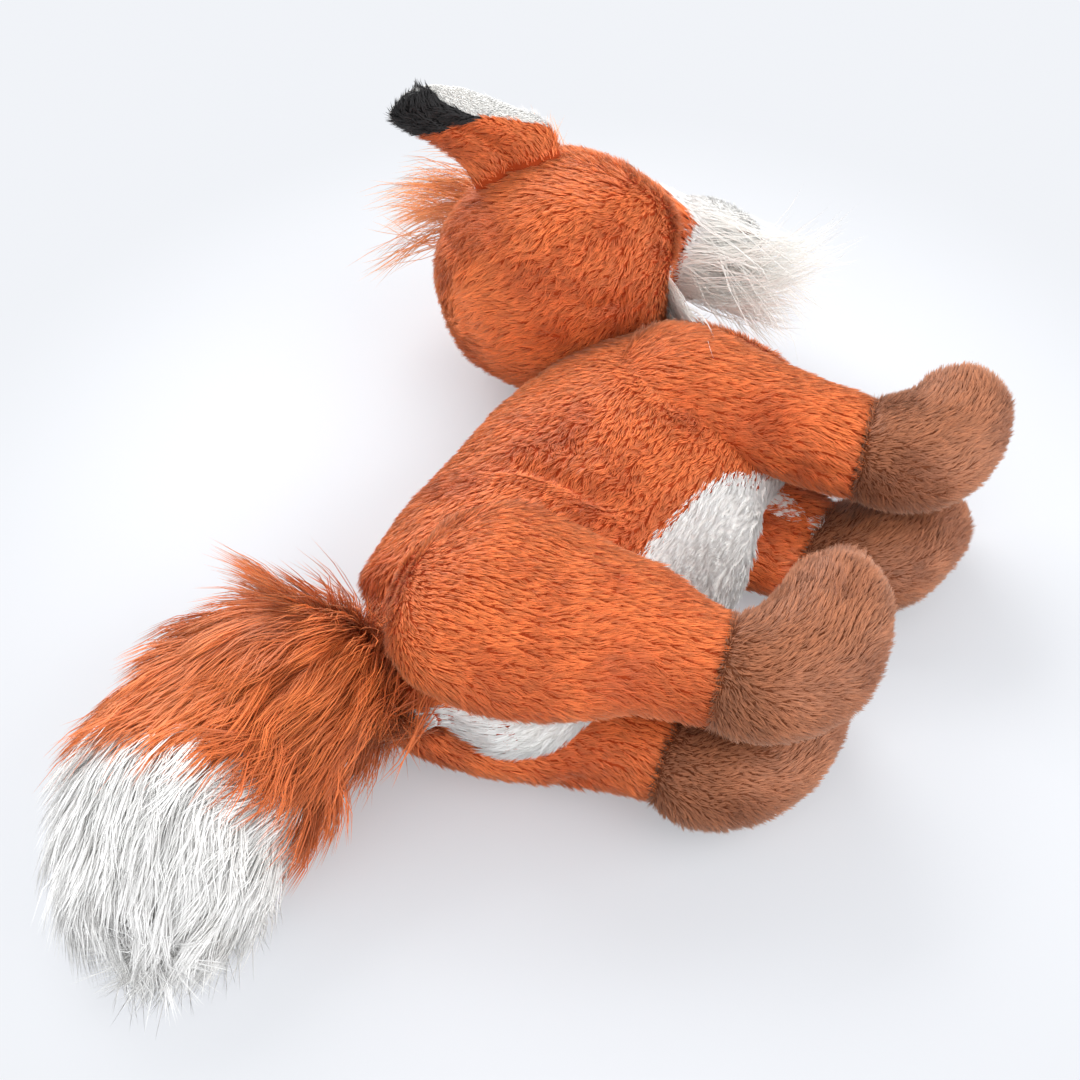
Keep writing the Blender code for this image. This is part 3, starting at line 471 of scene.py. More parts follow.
def tube(stations, turn, origin, rings, segments, cap_share=0.5):
    """Tube through stations of (x, y, z, half width, half thickness), closed by round ends.

    Each ring is centre + side * width * cos(v) + up * thickness * sin(v), with side level and
    square to the path. An end carries on as a quarter ellipse: place sin(t), radius cos(t).
    """
    body = curve_through(stations, np.linspace(0, 1, rings))
    bend = np.linspace(0, math.pi / 2, CAP_ROWS + 1)[1:]
    rows = [body]
    for end, step in ((0, 1), (-1, -1)):
        first = body[end]
        away = unit(first[:3] - body[end + 2 * step][:3])
        reach = min(first[3], first[4]) * cap_share
        cap = np.column_stack([
            first[:3] + away * (reach * np.sin(bend))[:, None],
            first[3] * np.cos(bend), first[4] * np.cos(bend),
        ])
        rows = [cap[::-1]] + rows if end == 0 else rows + [cap]
    rows = np.vstack(rows)
    rows[0, 3:] = rows[-1, 3:] = 0
    heading = np.gradient(rows[:, :3], axis=0)
    heading[:, 2] = 0
    heading = unit(heading)
    side = np.column_stack([-heading[:, 1], heading[:, 0], np.zeros(len(rows))])
    v = np.linspace(0, math.tau, segments, endpoint=False)
    points = rows[:, None, :3] + side[:, None] * (rows[:, 3, None] * np.cos(v))[..., None]
    points[..., 2] += rows[:, 4, None] * np.sin(v)
    spin = np.array([[math.cos(turn), -math.sin(turn), 0], [math.sin(turn), math.cos(turn), 0], [0, 0, 1]])
    kept = (rows[:, :3] @ spin.T + origin, heading @ spin.T, side @ spin.T, rows[:, 3], rows[:, 4])
    return Surface(unfolded(points, rows[:, :3], heading) @ spin.T + origin, rings=kept)


def unfolded(points, centres, heading):
    """Draw straight the inner side of a tight bend, where rings would cross each other.

    A point whose step along the path falls well under its ring's own step moves to the middle of
    its neighbours, over and over.
    """
    step = np.linalg.norm(np.diff(centres, axis=0), axis=1)[:, None]
    for _ in range(160):
        along = np.sum(np.diff(points, axis=0) * heading[1:, None], axis=-1) / np.maximum(step, 1e-6)
        tight = 1 - smooth(along, 0.15, 0.45)
        tight = np.maximum(tight[:-1], tight[1:])[..., None]
        tight[:CAP_ROWS + 1], tight[-CAP_ROWS - 1:] = 0, 0
        points = points.copy()
        points[1:-1] += tight * ((points[:-2] + points[2:]) / 2 - points[1:-1])
    return points


def inside(surface, points, margin):
    """How far points lie inside a tube, 0 to 1, by the ellipse of the ring beside each of them."""
    centres, heading, side, width, thickness = (part[::3] for part in surface.rings)
    spacing = np.linalg.norm(np.gradient(centres, axis=0), axis=1)
    flat = points.reshape(-1, 3)
    deepest = np.zeros(len(flat))
    for centre, way, across, half, tall, step in zip(centres, heading, side, width, thickness, spacing):
        away = flat - centre
        beside = np.abs(away @ way) < max(step, 0.002)
        reach = np.hypot((away @ across) / max(half - margin, 1e-5), away[:, 2] / max(tall - margin, 1e-5))
        deepest = np.where(beside, np.maximum(deepest, 1 - smooth(reach, 0.97, 1.03)), deepest)
    return deepest.reshape(points.shape[:-1])


def pressed(surface, lines):
    """Press creases into a surface.

    A crease is (points of its line, depth, width). The push is depth * exp(-(d / width)^2),
    with a lip of a third of the depth at 1.8 widths, where d is the distance to the line.
    """
    flat = surface.points.reshape(-1, 3)
    push = np.zeros(len(flat))
    for line, depth, width in lines:
        line = curve_through(line, np.linspace(0, 1, 24))
        nearest = np.full(len(flat), 1.0)
        fade = np.zeros(len(flat))
        for k, (start, end) in enumerate(zip(line, line[1:])):
            way = end - start
            share = np.clip((flat - start) @ way / (way @ way), 0, 1)
            distance = np.linalg.norm(flat - start - share[:, None] * way, axis=1)
            closer = distance < nearest
            nearest = np.where(closer, distance, nearest)
            fade = np.where(closer, np.sin(math.pi * (k + share) / (len(line) - 1)) ** 0.6, fade)
        push -= depth * fade * np.exp(-((nearest / width) ** 2))
        push += depth / 3 * fade * np.exp(-(((nearest - 1.8 * width) / width) ** 2))
    return surface.moved(push.reshape(surface.points.shape[:2]))


def mesh_object(name, vertices, faces, material):
    """Put arrays of vertices and faces into an object with one material."""
    mesh = bpy.data.meshes.new(name)
    mesh.from_pydata(vertices, [], faces)
    mesh.shade_smooth()
    mesh.materials.append(material)
    obj = bpy.data.objects.new(name, mesh)
    bpy.context.scene.collection.objects.link(obj)
    return obj


def skin(name, surface, material):
    """Closed skin over a tube: fans at its two end points and four-sided faces between."""
    points = surface.points
    rows, columns = points.shape[:2]
    vertices = np.vstack([points[0, :1], points[1:-1].reshape(-1, 3), points[-1, :1]])
    last = len(vertices) - 1
    here = np.arange(columns)
    after = (here + 1) % columns
    base = 1 + np.arange(rows - 3)[:, None] * columns
    quads = np.stack([base + here, base + after, base + columns + after, base + columns + here], -1)
    first = np.column_stack([np.zeros(columns, int), 1 + after, 1 + here])
    end = last - columns
    final = np.column_stack([np.full(columns, last), end + here, end + after])
    faces = quads.reshape(-1, 4)
    if not surface.flip:
        faces, first, final = faces[:, ::-1], first[:, ::-1], final[:, ::-1]
    return mesh_object(name, vertices.tolist(), faces.tolist() + first.tolist() + final.tolist(), material)


def slab(name, top, low, material):
    """Closed cloth between two grids of the same size, joined round their edges."""
    rows, columns = top.points.shape[:2]
    vertices = np.vstack([top.points.reshape(-1, 3), low.reshape(-1, 3)])
    index = np.arange(rows * columns).reshape(rows, columns)
    grid = np.stack([index[:-1, :-1], index[:-1, 1:], index[1:, 1:], index[1:, :-1]], -1).reshape(-1, 4)
    under = grid[:, ::-1] + rows * columns
    edge = np.concatenate([index[0, :-1], index[:-1, -1], index[-1, :0:-1], index[:0:-1, 0]])
    after = np.roll(edge, -1)
    walls = np.stack([after, edge, edge + rows * columns, after + rows * columns], -1)
    faces = np.concatenate([grid, under, walls])
    if top.flip:
        faces = faces[:, ::-1]
    return mesh_object(name, vertices.tolist(), faces[:, ::-1].tolist(), material)


# Pile

class Pile:
    """Sizes of one kind of pile."""

    def __init__(self, length, width, density, clump, lift=30, settle=8, spread=22, pull=0.55, steps=1, curl=0):
        self.length = length
        self.width = width
        self.density = density / MM ** 2
        self.clump = clump
        self.lift = math.radians(lift)
        self.settle = math.radians(settle)
        self.spread = math.radians(spread)
        self.pull = pull
        self.steps = steps
        self.curl = curl


def grow(surface, weights, flow, pile, seed, ruffle=None):
    """Paths of pile over a surface, combed along its flow.

    Roots are spread by area times weight. A path leaves the skin at the lift angle and settles
    towards it; hashed lattice cells give each clump its own lean, length and meeting point.
    """
    rng = np.random.default_rng(seed)
    points = surface.points
    rows, columns = points.shape[:2]
    wide = columns if surface.wrap else columns - 1
    after = (np.arange(wide) + 1) % columns
    corner = [points[:-1, :wide], points[:-1, after], points[1:, after], points[1:, :wide]]
    area = np.linalg.norm(np.cross(corner[2] - corner[0], corner[3] - corner[1]), axis=-1) / 2
    mass = (area * (weights[:-1, :wide] + weights[1:, after]) / 2).ravel() * pile.density
    total = mass.cumsum()
    count = int(total[-1])
    cell = np.searchsorted(total, (np.arange(count) + rng.random(count)) * total[-1] / count)
    cell = np.minimum(cell, len(mass) - 1)
    row, column = cell // wide, cell % wide
    a, b = rng.random((2, count, 1))

    def blend(values):
        near = values[row, column] * (1 - b) + values[row, after[column]] * b
        far = values[row + 1, column] * (1 - b) + values[row + 1, after[column]] * b
        return near * (1 - a) + far * a

    roots, normals = blend(points), unit(blend(surface.normals))
    comb = blend(flow)
    comb = unit(comb - normals * np.sum(comb * normals, axis=1, keepdims=True))
    cells = np.floor(roots / pile.clump).astype(np.int64)
    lean = hashed(cells, seed)
    own = rng.uniform(-1, 1, (count, 3))
    loose = np.full((count, 1), 0.5) if ruffle is None else blend(ruffle[..., None])
    pull = (cells + 0.5 + 0.3 * lean) * pile.clump - roots
    pull -= normals * np.sum(pull * normals, axis=1, keepdims=True)
    across = np.cross(normals, comb)
    angle = pile.spread * (0.4 + 1.2 * loose) * (lean[:, :1] + 0.45 * own[:, :1])
    heading = comb * np.cos(angle) + across * np.sin(angle)
    across = np.cross(normals, heading)
    length = pile.length * (1 + 0.14 * lean[:, 2:] + 0.22 * own[:, 2:])
    path = [roots - normals * ROOT_DEPTH]
    reach = roots
    for step in range(pile.steps):
        share = step / (pile.steps - 1) if pile.steps > 1 else 0.35
        rise = pile.lift * (0.75 + 0.5 * loose) * (1 + 0.35 * lean[:, 1:2] + 0.25 * own[:, 1:2])
        rise = rise * (1 - share) + pile.settle * share
        way = heading * np.cos(rise) + normals * np.sin(rise)
        way += across * pile.curl * np.sin(math.tau * (share + own[:, :1] * 0.2 + lean[:, 2:]))
        reach = reach + unit(way) * length / pile.steps
        path.append(reach + pull * pile.pull * ((step + 1) / pile.steps) ** 1.3)
    path = np.stack(path, axis=1)
    path[..., 2] = np.maximum(path[..., 2], FLOOR_LIFT)
    return path, normals, np.column_stack([lean[:, :2], loose]), own


def strands(name, grown, width, material):
    """Mesh of strands along grown paths, with marks for painted shade and random tone, and a cell of UV space
    each.

    Each strand is a closed three-sided tube: its rings stand left, right and under its path, and
    it narrows to a point. Shading normals lean from each corner's own way towards the skin's, as
    on soft fibre.
    """
    path, normals, lean, own = grown
    count, stops = path.shape[:2]
    steps = stops - 1
    way = unit(np.diff(path, axis=1))
    across = unit(np.cross(way, normals[:, None]))
    up = np.cross(across, way)
    roll = (own[:, 1] * 0.5)[:, None, None]
    across, up = across * np.cos(roll) + up * np.sin(roll), up * np.cos(roll) - across * np.sin(roll)
    taper = 1 - 0.45 * (np.arange(steps) / steps) ** 1.5
    reach = width / 2 * taper[None, :, None] * (1 + 0.3 * own[:, 2])[:, None, None]
    each = 3 * steps + 1
    sides = [path[:, :-1] - across * reach, path[:, :-1] + across * reach, path[:, :-1] - up * reach * 1.2]
    ring = np.stack(sides, axis=2).reshape(count, each - 1, 3)
    vertices = np.concatenate([ring, path[:, -1:]], axis=1)
    vertices[..., 2] = np.maximum(vertices[..., 2], FLOOR_LIFT / 2)
    pattern, sizes = [], []
    for k in range(steps):
        for left, right in ((0, 1), (1, 2), (2, 0)):
            low, high = 3 * k, min(3 * k + 3, each - 1)
            if k < steps - 1:
                pattern += [low + left, low + right, high + right, high + left]
                sizes.append(4)
            else:
                pattern += [low + left, low + right, high]
                sizes.append(3)
    loops = (np.arange(count)[:, None] * each + np.array(pattern)).ravel()
    starts = np.concatenate([[0], np.cumsum(np.tile(sizes, count))[:-1]])

    mesh = bpy.data.meshes.new(name)
    mesh.vertices.add(count * each)
    mesh.vertices.foreach_set("co", vertices.ravel())
    mesh.loops.add(len(loops))
    mesh.loops.foreach_set("vertex_index", loops)
    mesh.polygons.add(len(starts))
    mesh.polygons.foreach_set("loop_start", starts)
    mesh.update(calc_edges=True)
    mesh.shade_smooth()

    skinward = normals[:, None]
    corners = [skinward - 0.8 * across + 0.3 * up, skinward + 0.8 * across + 0.3 * up, 0.2 * skinward - up]
    turned = np.stack(corners, axis=2).reshape(count, each - 1, 3)
    tip = skinward + 0.3 * way[:, -1:]
    soft = unit(np.concatenate([turned, tip], axis=1) + 0.25 * own[:, None])
    bent = mesh.attributes.new("custom_normal", "FLOAT_VECTOR", "POINT")
    bent.data.foreach_set("vector", soft.ravel())
    stop = np.append(np.repeat(np.arange(steps), 3), steps) / steps
    # Colour marks: share along the strand, own tone, clump tone, and how ruffled the pile is; the material turns
    # the first and the last into painted shade towards the root and in ruffled pile
    marks = np.ones((count, each, 4))
    marks[..., 0] = stop
    marks[..., 1] = (own[:, :1] + 1) / 2
    marks[..., 2] = (lean[:, 1:2] + 1) / 2
    marks[..., 3] = lean[:, 2:3]
    tint = mesh.attributes.new("pile", "FLOAT_COLOR", "POINT")
    tint.data.foreach_set("color", marks.ravel())
    grid = math.ceil(math.sqrt(count))
    spot = np.arange(count)
    sideways = np.append(np.tile(np.linspace(0.15, 0.85, 3), steps), 0.5)
    u = ((spot % grid)[:, None] + sideways[None, :]) / grid
    v = ((spot // grid)[:, None] + 0.1 + 0.8 * stop[None, :]) / grid
    uv = np.stack([u, v], axis=-1)[:, pattern]
    layer = mesh.uv_layers.new(name="OFBake")
    layer.uv.foreach_set("vector", uv.ravel())
    mesh.materials.append(material)
    obj = bpy.data.objects.new(name, mesh)
    bpy.context.scene.collection.objects.link(obj)
    return obj


def comb_flow(surface, angle, swirl=0.35, size=0.03, seed=1):
    """Flow over a surface: its along direction turned by an angle plus slow noise."""
    turn = angle + swirl * noise(surface.points, size, seed)
    turn = (turn + 0.5 * swirl * noise(surface.points, size / 3, seed + 7))[..., None]
    return surface.along * np.cos(turn) + surface.around * np.sin(turn)


def shaded_from_floor(surface):
    """Weight of pile: a quarter where the skin is pressed on the floor."""
    under = smooth(-surface.normals[..., 2], 0.3, 0.8) * smooth(-surface.points[..., 2], -0.012, -0.004)
    return 1 - 0.75 * under


# Materials

def colour_of(name):
    """One of the colour settings, with full alpha."""
    return (*getattr(bpy.context.scene.fox_colours, name), 1.0)


def fill_inputs(tree, node, inputs):
    """Give a node's inputs their values, or link them where a value is another node's output."""
    for name, value in inputs.items():
        if isinstance(value, bpy.types.NodeSocket):
            tree.links.new(value, node.inputs[name])
        else:
            node.inputs[name].default_value = value


def add_node(tree, kind, inputs=None, **settings):
    """Add a shader node with its settings and inputs."""
    node = tree.nodes.new("ShaderNode" + kind)
    for name, value in settings.items():
        setattr(node, name, value)
    fill_inputs(tree, node, inputs or {})
    return node


def computed(tree, operation, first, second):
    """Output of a Math node on two numbers or outputs."""
    return add_node(tree, "Math", {0: first, 1: second}, operation=operation).outputs[0]


def mixed(tree, factor, first, second):
    """Output of a node that mixes two colours."""
    return add_node(tree, "Mix", {0: factor, 6: first, 7: second}, data_type="RGBA").outputs[2]


def noise_value(tree, scale, detail=2.0):
    """Output of a noise node in the piece's own space."""
    where = add_node(tree, "TexCoord").outputs["Object"]
    return add_node(tree, "TexNoise", {"Vector": where, "Scale": scale, "Detail": detail}).outputs["Fac"]


def shared_group(name, colours, number, build):
    """Shader group with two named colours and a number that gives one colour, built once by build."""
    if name not in bpy.data.node_groups:
        group = bpy.data.node_groups.new(name, "ShaderNodeTree")
        for label in colours:
            group.interface.new_socket(label, in_out="INPUT", socket_type="NodeSocketColor")
        group.interface.new_socket(number, in_out="INPUT", socket_type="NodeSocketFloat")
        group.interface.new_socket("Color", in_out="OUTPUT", socket_type="NodeSocketColor")
        colour = build(group, group.nodes.new("NodeGroupInput").outputs)
        group.links.new(colour, group.nodes.new("NodeGroupOutput").inputs[0])
    return bpy.data.node_groups[name]


def pile_colour(tree, given):
    """Colour of pile: painted shade at the root lightening to the tip, with more painted shade where the pile is
    ruffled; each strand and clump a little different, in broad patches.
    """
    marks = add_node(tree, "Attribute", attribute_name="pile").outputs
    height, own, clump = add_node(tree, "SeparateColor", {0: marks["Color"]}).outputs
    # Painted shade in ruffled pile: where the Alpha mark says the pile is ruffled, the colour stays nearer the
    # root
    sleek = computed(tree, "SUBTRACT", 1.18, computed(tree, "MULTIPLY", marks["Alpha"], 0.75))
    height = computed(tree, "MULTIPLY", computed(tree, "POWER", height, 0.55), sleek)
    # The root colour is painted shade deep in the pile; the mix runs from it up to the tip colour
    base = mixed(tree, height, given["Root"], given["Tip"])
    own, clump, broad, grain = (
        computed(tree, "MULTIPLY", computed(tree, "SUBTRACT", value, 0.5), amount) for value, amount in
        ((own, 1), (clump, 1), (noise_value(tree, 60, 3), 1.4), (noise_value(tree, 2600), 1.8))
    )
    change = computed(tree, "ADD", computed(tree, "ADD", own, grain), computed(tree, "ADD", clump, broad))
    level = computed(tree, "ADD", computed(tree, "MULTIPLY", change, given["Variation"]), 1)
    return add_node(tree, "VectorMath", {0: base, "Scale": level}, operation="SCALE").outputs[0]


def cloth_colour(tree, given):
    """Colour of backing cloth: two tones mixed by noise."""
    return mixed(tree, noise_value(tree, given["Grain"], 4), given["Dark"], given["Light"])


def principled(name, inputs):
    """Start a material and give it with its tree and its shader, whose inputs are filled."""
    material = bpy.data.materials.new(name)
    material.use_nodes = True
    tree = material.node_tree
    shader = tree.nodes["Principled BSDF"]
    fill_inputs(tree, shader, {"Sheen Roughness": 0.45, **inputs})
    return material, tree, shader


def pile_material(name):
    """Brushed polyester pile: its tip colour with painted shade towards the root, and a sheen in its own hue."""
    if name in bpy.data.materials:
        return bpy.data.materials[name]
    root, tip, variation = PILE_COLOURS[name]
    tint = (*(0.25 + 0.75 * part ** 0.5 for part in colour_of(tip)[:3]), 1.0)
    material, tree, shader = principled(name, {
        "Roughness": 0.55, "Sheen Weight": 0.42, "Sheen Tint": tint, "Specular IOR Level": 0.42,
    })
    colour = add_node(tree, "Group", {
        "Root": colour_of(root), "Tip": colour_of(tip), "Variation": variation,
    }, node_tree=shared_group("pile_colour", ("Root", "Tip"), "Variation", pile_colour))
    fill_inputs(tree, shader, {"Base Color": colour.outputs[0]})
    return material


def cloth_material(name, dark, light, grain=900.0, roughness=0.9, bump=0.3, relief=1500.0):
    """Backing cloth, thread or loose fibre in two tones, with a fine bump."""
    if name in bpy.data.materials:
        return bpy.data.materials[name]
    material, tree, shader = principled(name, {
        "Roughness": roughness, "Sheen Weight": 0.1, "Specular IOR Level": 0.2,
    })
    colour = add_node(tree, "Group", {
        "Dark": dark, "Light": light, "Grain": grain,
    }, node_tree=shared_group("cloth_colour", ("Dark", "Light"), "Grain", cloth_colour))
    raised = add_node(tree, "Bump", {
        "Strength": bump, "Distance": CLOTH_RELIEF, "Height": noise_value(tree, relief),
    })
    fill_inputs(tree, shader, {"Base Color": colour.outputs[0], "Normal": raised.outputs[0]})
    return material


def backing(hue):
    """Backing cloth in its pile's root colour and in 0.7 of it, both painted shade deep in the pile."""
    deep = colour_of(f"{hue}_root_shade")
    return cloth_material(f"{hue}_backing", (*(0.7 * part for part in deep[:3]), 1.0), deep)


def button_material():
    """Polished black plastic with faint handling marks."""
    material, tree, shader = principled("button_gloss", {
        "Specular IOR Level": 0.5, "Coat Weight": 0.6, "Base Color": colour_of("button"),
    })
    marks = computed(tree, "MULTIPLY", noise_value(tree, 400), 0.12)
    fill_inputs(tree, shader, {"Roughness": computed(tree, "ADD", marks, 0.04)})
    return material


# The fox's forms

def stations(rows, columns, sizes, start=0.0):
    """Stations of a tube: chosen columns of its rows of shares, times sizes, from a start."""
    return np.array(rows)[:, columns] * sizes + start


def joint_place(body):
    """Place of the joint that a body turns about."""
    return np.array(JOINTS[body]["pos_m"])


def build_forms(grids, inset=0.0):
    """Every form of the fox as a plain tube, before its creases, drawn in by an inset."""
    def drawn(rows):
        if inset:
            rows = rows[1:-1]
            rows[[0, -1], :3] += FILLING_END_SHARE * (rows[[1, -2], :3] - rows[[0, -1], :3])
            rows[:, 3:] = np.maximum(rows[:, 3:] - inset, rows[:, 3:] * FILLING_LEAST_SHARE)
        return rows

    trunk_grid, head_grid, leg_grid, tail_grid = grids
    depth, tall, wide, thick = TRUNK_DEPTH, TRUNK_THICKNESS, TAIL_WIDTH, TAIL_THICKNESS
    order = (1, 0, 3, 2, 4)
    trunk = stations(TRUNK_RING_SHARES, order, (depth, TRUNK_LENGTH, tall, depth, tall), (0, RUMP_Y, 0, 0, 0))
    tail = stations(TAIL_RING_SHARES, order, (wide, -TAIL_LENGTH, thick, wide, thick))
    skull = (HEAD_RADIUS, HEAD_RADIUS, 0, HEAD_RADIUS, HEAD_RADIUS)
    muzzle = (FACE_LENGTH, FACE_LENGTH, 0, MUZZLE_DEPTH, MUZZLE_WIDTH)
    head = np.vstack([
        stations(rows, (1, 0, 0, 2, 3), sizes, (-HEAD_TO_NECK, 0, 0, 0, 0))
        for rows, sizes in ((HEAD_RING_SHARES, skull), (MUZZLE_RING_SHARES, muzzle))
    ])
    forms = {
        "trunk": tube(drawn(trunk), 0, np.zeros(3), *trunk_grid),
        "head": tube(drawn(head), -HEAD_NOD, joint_place("head"), *head_grid, 0.12),
        "tail": tube(drawn(tail), 0, joint_place("tail"), *tail_grid),
    }
    for leg, shares, length, thick, side, turn, _ in LEGS:
        rows = stations(shares, (0, 1, 3, 2, 4), (length, length, side * thick, length, thick))
        forms[leg] = tube(drawn(rows), turn, joint_place(leg), *leg_grid)
    return forms


def soft_lumps(surface, seed=3):
    """Uneven stuffing: slow noise of two sizes along the normals."""
    broad, fine = (noise(surface.points, LUMP_SIZE / (1 + k), seed + k) for k in range(2))
    return surface.moved(LUMP_DEPTH * broad + LUMP_DEPTH / 2 * fine)


def covered(surface, others, margin=0.007):
    """Weight of pile: none where a surface is hidden inside other forms."""
    weight = np.ones(surface.points.shape[:2])
    for other in others:
        weight *= 1 - inside(FORMS[other], surface.points, margin)
    return weight


def furnish(obj, body, replaced=(), bend=None):
    """Put a piece on its body and hide the parts that it replaces; a piece given a bend only has its place baked
    into its mesh and is put on no body.
    """
    if bend:
        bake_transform(obj)
    else:
        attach(obj, body)
    if replaced:
        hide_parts(*replaced)


def ruffled(surface, seed, spots=()):
    """How ruffled the pile is, 0 sleek to 1: slow noise, and round spots of (x, y, z, radius); ruffled pile is
    also painted with more shade.
    """
    points = surface.points
    loose = 0.75 * smooth(noise(points, 0.026, seed) + 0.5 * noise(points, 0.011, seed + 1), -0.25, 0.7)
    for x, y, z, radius in spots:
        loose = np.maximum(loose, np.exp(-((np.linalg.norm(points - (x, y, z), axis=-1) / radius) ** 2)))
    return loose


def pile_pieces(name, surface, weights, flow, pile, material, body, seed, bend=None, parts=1):
    """Grow pile over a surface as one or more pieces."""
    spots = [spot[1:] for spot in RUFFLES if spot[0] == body]
    grown = grow(surface, weights, flow, pile, seed, ruffled(surface, seed, spots))
    count = len(grown[0])
    order = np.arange(count) * parts // max(count, 1)
    for part in range(parts):
        label = name if parts == 1 else f"{name}_{part + 1}"
        obj = strands(label, [values[order == part] for values in grown], pile.width, pile_material(material))
        furnish(obj, body, bend=bend)


def stuffed_skin(name, surface, hue, body, node, bend=None):
    """Skin of a stuffed piece, in the backing cloth of its pile."""
    furnish(skin(name, surface, backing(hue)), body, (node,), bend)


def filling_piece(name, body, node, bend=None, part=(0, 1), material="fibre_filling"):
    """What fills a skin: its form drawn in, or part of its rows."""
    count = len(CORES[body].points)
    shape = CORES[body].rows(round(count * part[0]), round(count * part[1]) - 1)[0]
    obj = skin(name, shape, cloth_material(material, *CLOTHS[material]))
    furnish(obj, body, (node,), bend)


def short_pile(scale=1.0, **changes):
    """The fox's short pile, by its settings."""
    pile = bpy.context.scene.fox_pile
    sizes = {"lift": 24, "spread": 20, "pull": 0.45, **changes}
    return Pile(pile.short_length * scale, pile.short_width, pile.short_density, pile.clump, **sizes)


class FOX_OT_trunk(bpy.types.Operator):
    """Build the trunk's skin, belly panel, pile and filling."""

    bl_idname = "fox.trunk"
    bl_label = "Trunk"

    def execute(self, context):
        surface = pressed(soft_lumps(FORMS["trunk"].moved(-SKIN_DEPTH)), TRUNK_CREASES)
        neck = joint_place("head")
        bend = "trunk", "head", neck + (0, -0.008, 0), neck + (0, 0.038, 0)
        stuffed_skin("trunk_skin", surface, "orange", "trunk", "trunk_cover", bend)
        furnish(belly_patch(surface), "trunk", ("belly_panel",), bend)
        white = belly_weight(surface)
        shown = covered(surface, ("head", "tail", *(row[0] for row in LEGS))) * shaded_from_floor(surface)
        flow = comb_flow(surface, math.pi, seed=5)
        pile_pieces("trunk_pile", surface, shown * (1 - white), flow, short_pile(), "orange_pile",
                    "trunk", 11, bend, 3)
        pile_pieces("belly_pile", surface, shown * white, flow, short_pile(1.15, lift=20), "white_pile",
                    "trunk", 12, bend)
        filling_piece("trunk_fibre", "trunk", "trunk_filling", bend, (POUCH_SHARE, 1))
        filling_piece("pellet_bag", "trunk", "pellet_pouch", None, (0, POUCH_SHARE), "pouch_linen")
        return {"FINISHED"}


def belly_weight(surface):
    """Share of white on the trunk: 1 inside the belly panel's wavy outline.

    A point's angle round the trunk from the middle of its belly is compared with the panel's
    half angle there.
    """
    plain = FORMS["trunk"].points
    away = plain - plain.mean(axis=1)[:, None]
    angle = np.abs(np.arctan2(away[..., 2] * TRUNK_DEPTH / TRUNK_THICKNESS, away[..., 0]))
    half = np.radians(np.interp(plain[..., 1], *np.array(BELLY_EDGE).T, left=0, right=0))
    return smooth(0.93 * half - angle + 0.03 * noise(surface.points, 0.006, 21), -0.015, 0.015)


def belly_patch(surface):
    """Belly panel: the trunk's own grid out to the panel's half angle, its edges tucked under the pile."""
    plain = FORMS["trunk"].points
    columns = plain.shape[1]
    rows = np.arange(*BELLY_ROWS)
    middle = int(np.argmax(plain[BELLY_MIDDLE_ROW, :, 0]))
    half = np.interp(plain[rows].mean(axis=1)[:, 1], *np.array(BELLY_EDGE).T)
    v = np.linspace(-1, 1, BELLY_COLUMNS)[None, :]
    place = middle + half[:, None] / 360 * columns * v
    first = np.floor(place).astype(int)
    share = (place - first)[..., None]

    def at(values):
        near, far = (values[rows[:, None], (first + step) % columns] for step in (0, 1))
        return near * (1 - share) + far * share

    points, normals = at(surface.points), at(surface.normals)
    u = np.linspace(-1, 1, len(rows))[:, None]
    lift = 0.0004 - 0.0016 * np.maximum(np.abs(u), np.abs(v)) ** 12
    top = Surface(points + normals * lift[..., None], wrap=False, flip=surface.flip)
    low = points + normals * (lift - 0.0012)[..., None]
    return slab("belly_skin", top, low, backing("white"))


class FOX_OT_head(bpy.types.Operator):
    """Build the head's skin, muzzle, pile and filling."""

    bl_idname = "fox.head"
    bl_label = "Head"

    def execute(self, context):
        surface = head_surface()
        ahead = face_frame(surface.points.mean(axis=1))[:, 1]
        split = int(np.argmax(ahead > FACE_EDGE))
        stuffed_skin("head_skin", surface.rows(0, split)[0], "orange", "head", "head_cover")
        muzzle = surface.rows(split + 1, len(surface.points) - 1)[0]
        stuffed_skin("muzzle_skin", muzzle, "white", "head", "muzzle_cover")
        white = face_weight(surface)
        shown = covered(surface, ("trunk",)) * shaded_from_floor(surface) * bare_spots(surface)
        flow = comb_flow(surface, math.pi, 0.6, 0.022, 8)
        pile_pieces("head_pile", surface, shown * (1 - white), flow, short_pile(lift=34, spread=30), "orange_pile",
                    "head", 21, None, 3)
        fine = 1 - 0.45 * smooth(face_frame(surface.points)[..., 1], 0.045, 0.095)
        pile_pieces("muzzle_pile", surface, shown * white * (0.6 + fine), flow, short_pile(0.62), "white_pile",
                    "head", 22)
        filling_piece("head_fibre", "head", "head_filling")
        return {"FINISHED"}


def face_frame(points):
    """Points in the neck's frame: x to the chin, y to the face, z to the right ear."""
    away = points - joint_place("head")
    c, s = math.cos(HEAD_NOD), math.sin(HEAD_NOD)
    x, y, z = np.moveaxis(away, -1, 0)
    return np.stack([x * c - y * s, x * s + y * c, z], -1)


def from_face(place):
    """A place in the neck's frame, in the fox's frame."""
    x, y, z = place
    c, s = math.cos(HEAD_NOD), math.sin(HEAD_NOD)
    return joint_place("head") + (x * c + y * s, y * c - x * s, z)

def face_way(way):
    """A direction in the neck's frame, in the fox's frame."""
    return from_face(way) - joint_place("head")


def head_surface():
    """Skin of the head and muzzle, with its lumps, creases and cheeks."""
    return cheeks(pressed(soft_lumps(FORMS["head"].moved(-SKIN_DEPTH), seed=9), HEAD_CREASES))


def cheeks(surface):
    """Fill out both cheeks: each point moves out by the swell times exp(-(distance / reach)^2)."""
    local = face_frame(surface.points)
    spot = np.stack([local[..., 0], local[..., 1], np.abs(local[..., 2])], -1)
    distance = np.linalg.norm(spot - CHEEK_SPOT, axis=-1)
    fuller = surface.moved(CHEEK_SWELL * np.exp(-((distance / CHEEK_REACH) ** 2)))
    fuller.points[..., 2] = np.maximum(fuller.points[..., 2], FLOOR_LIFT)
    return fuller


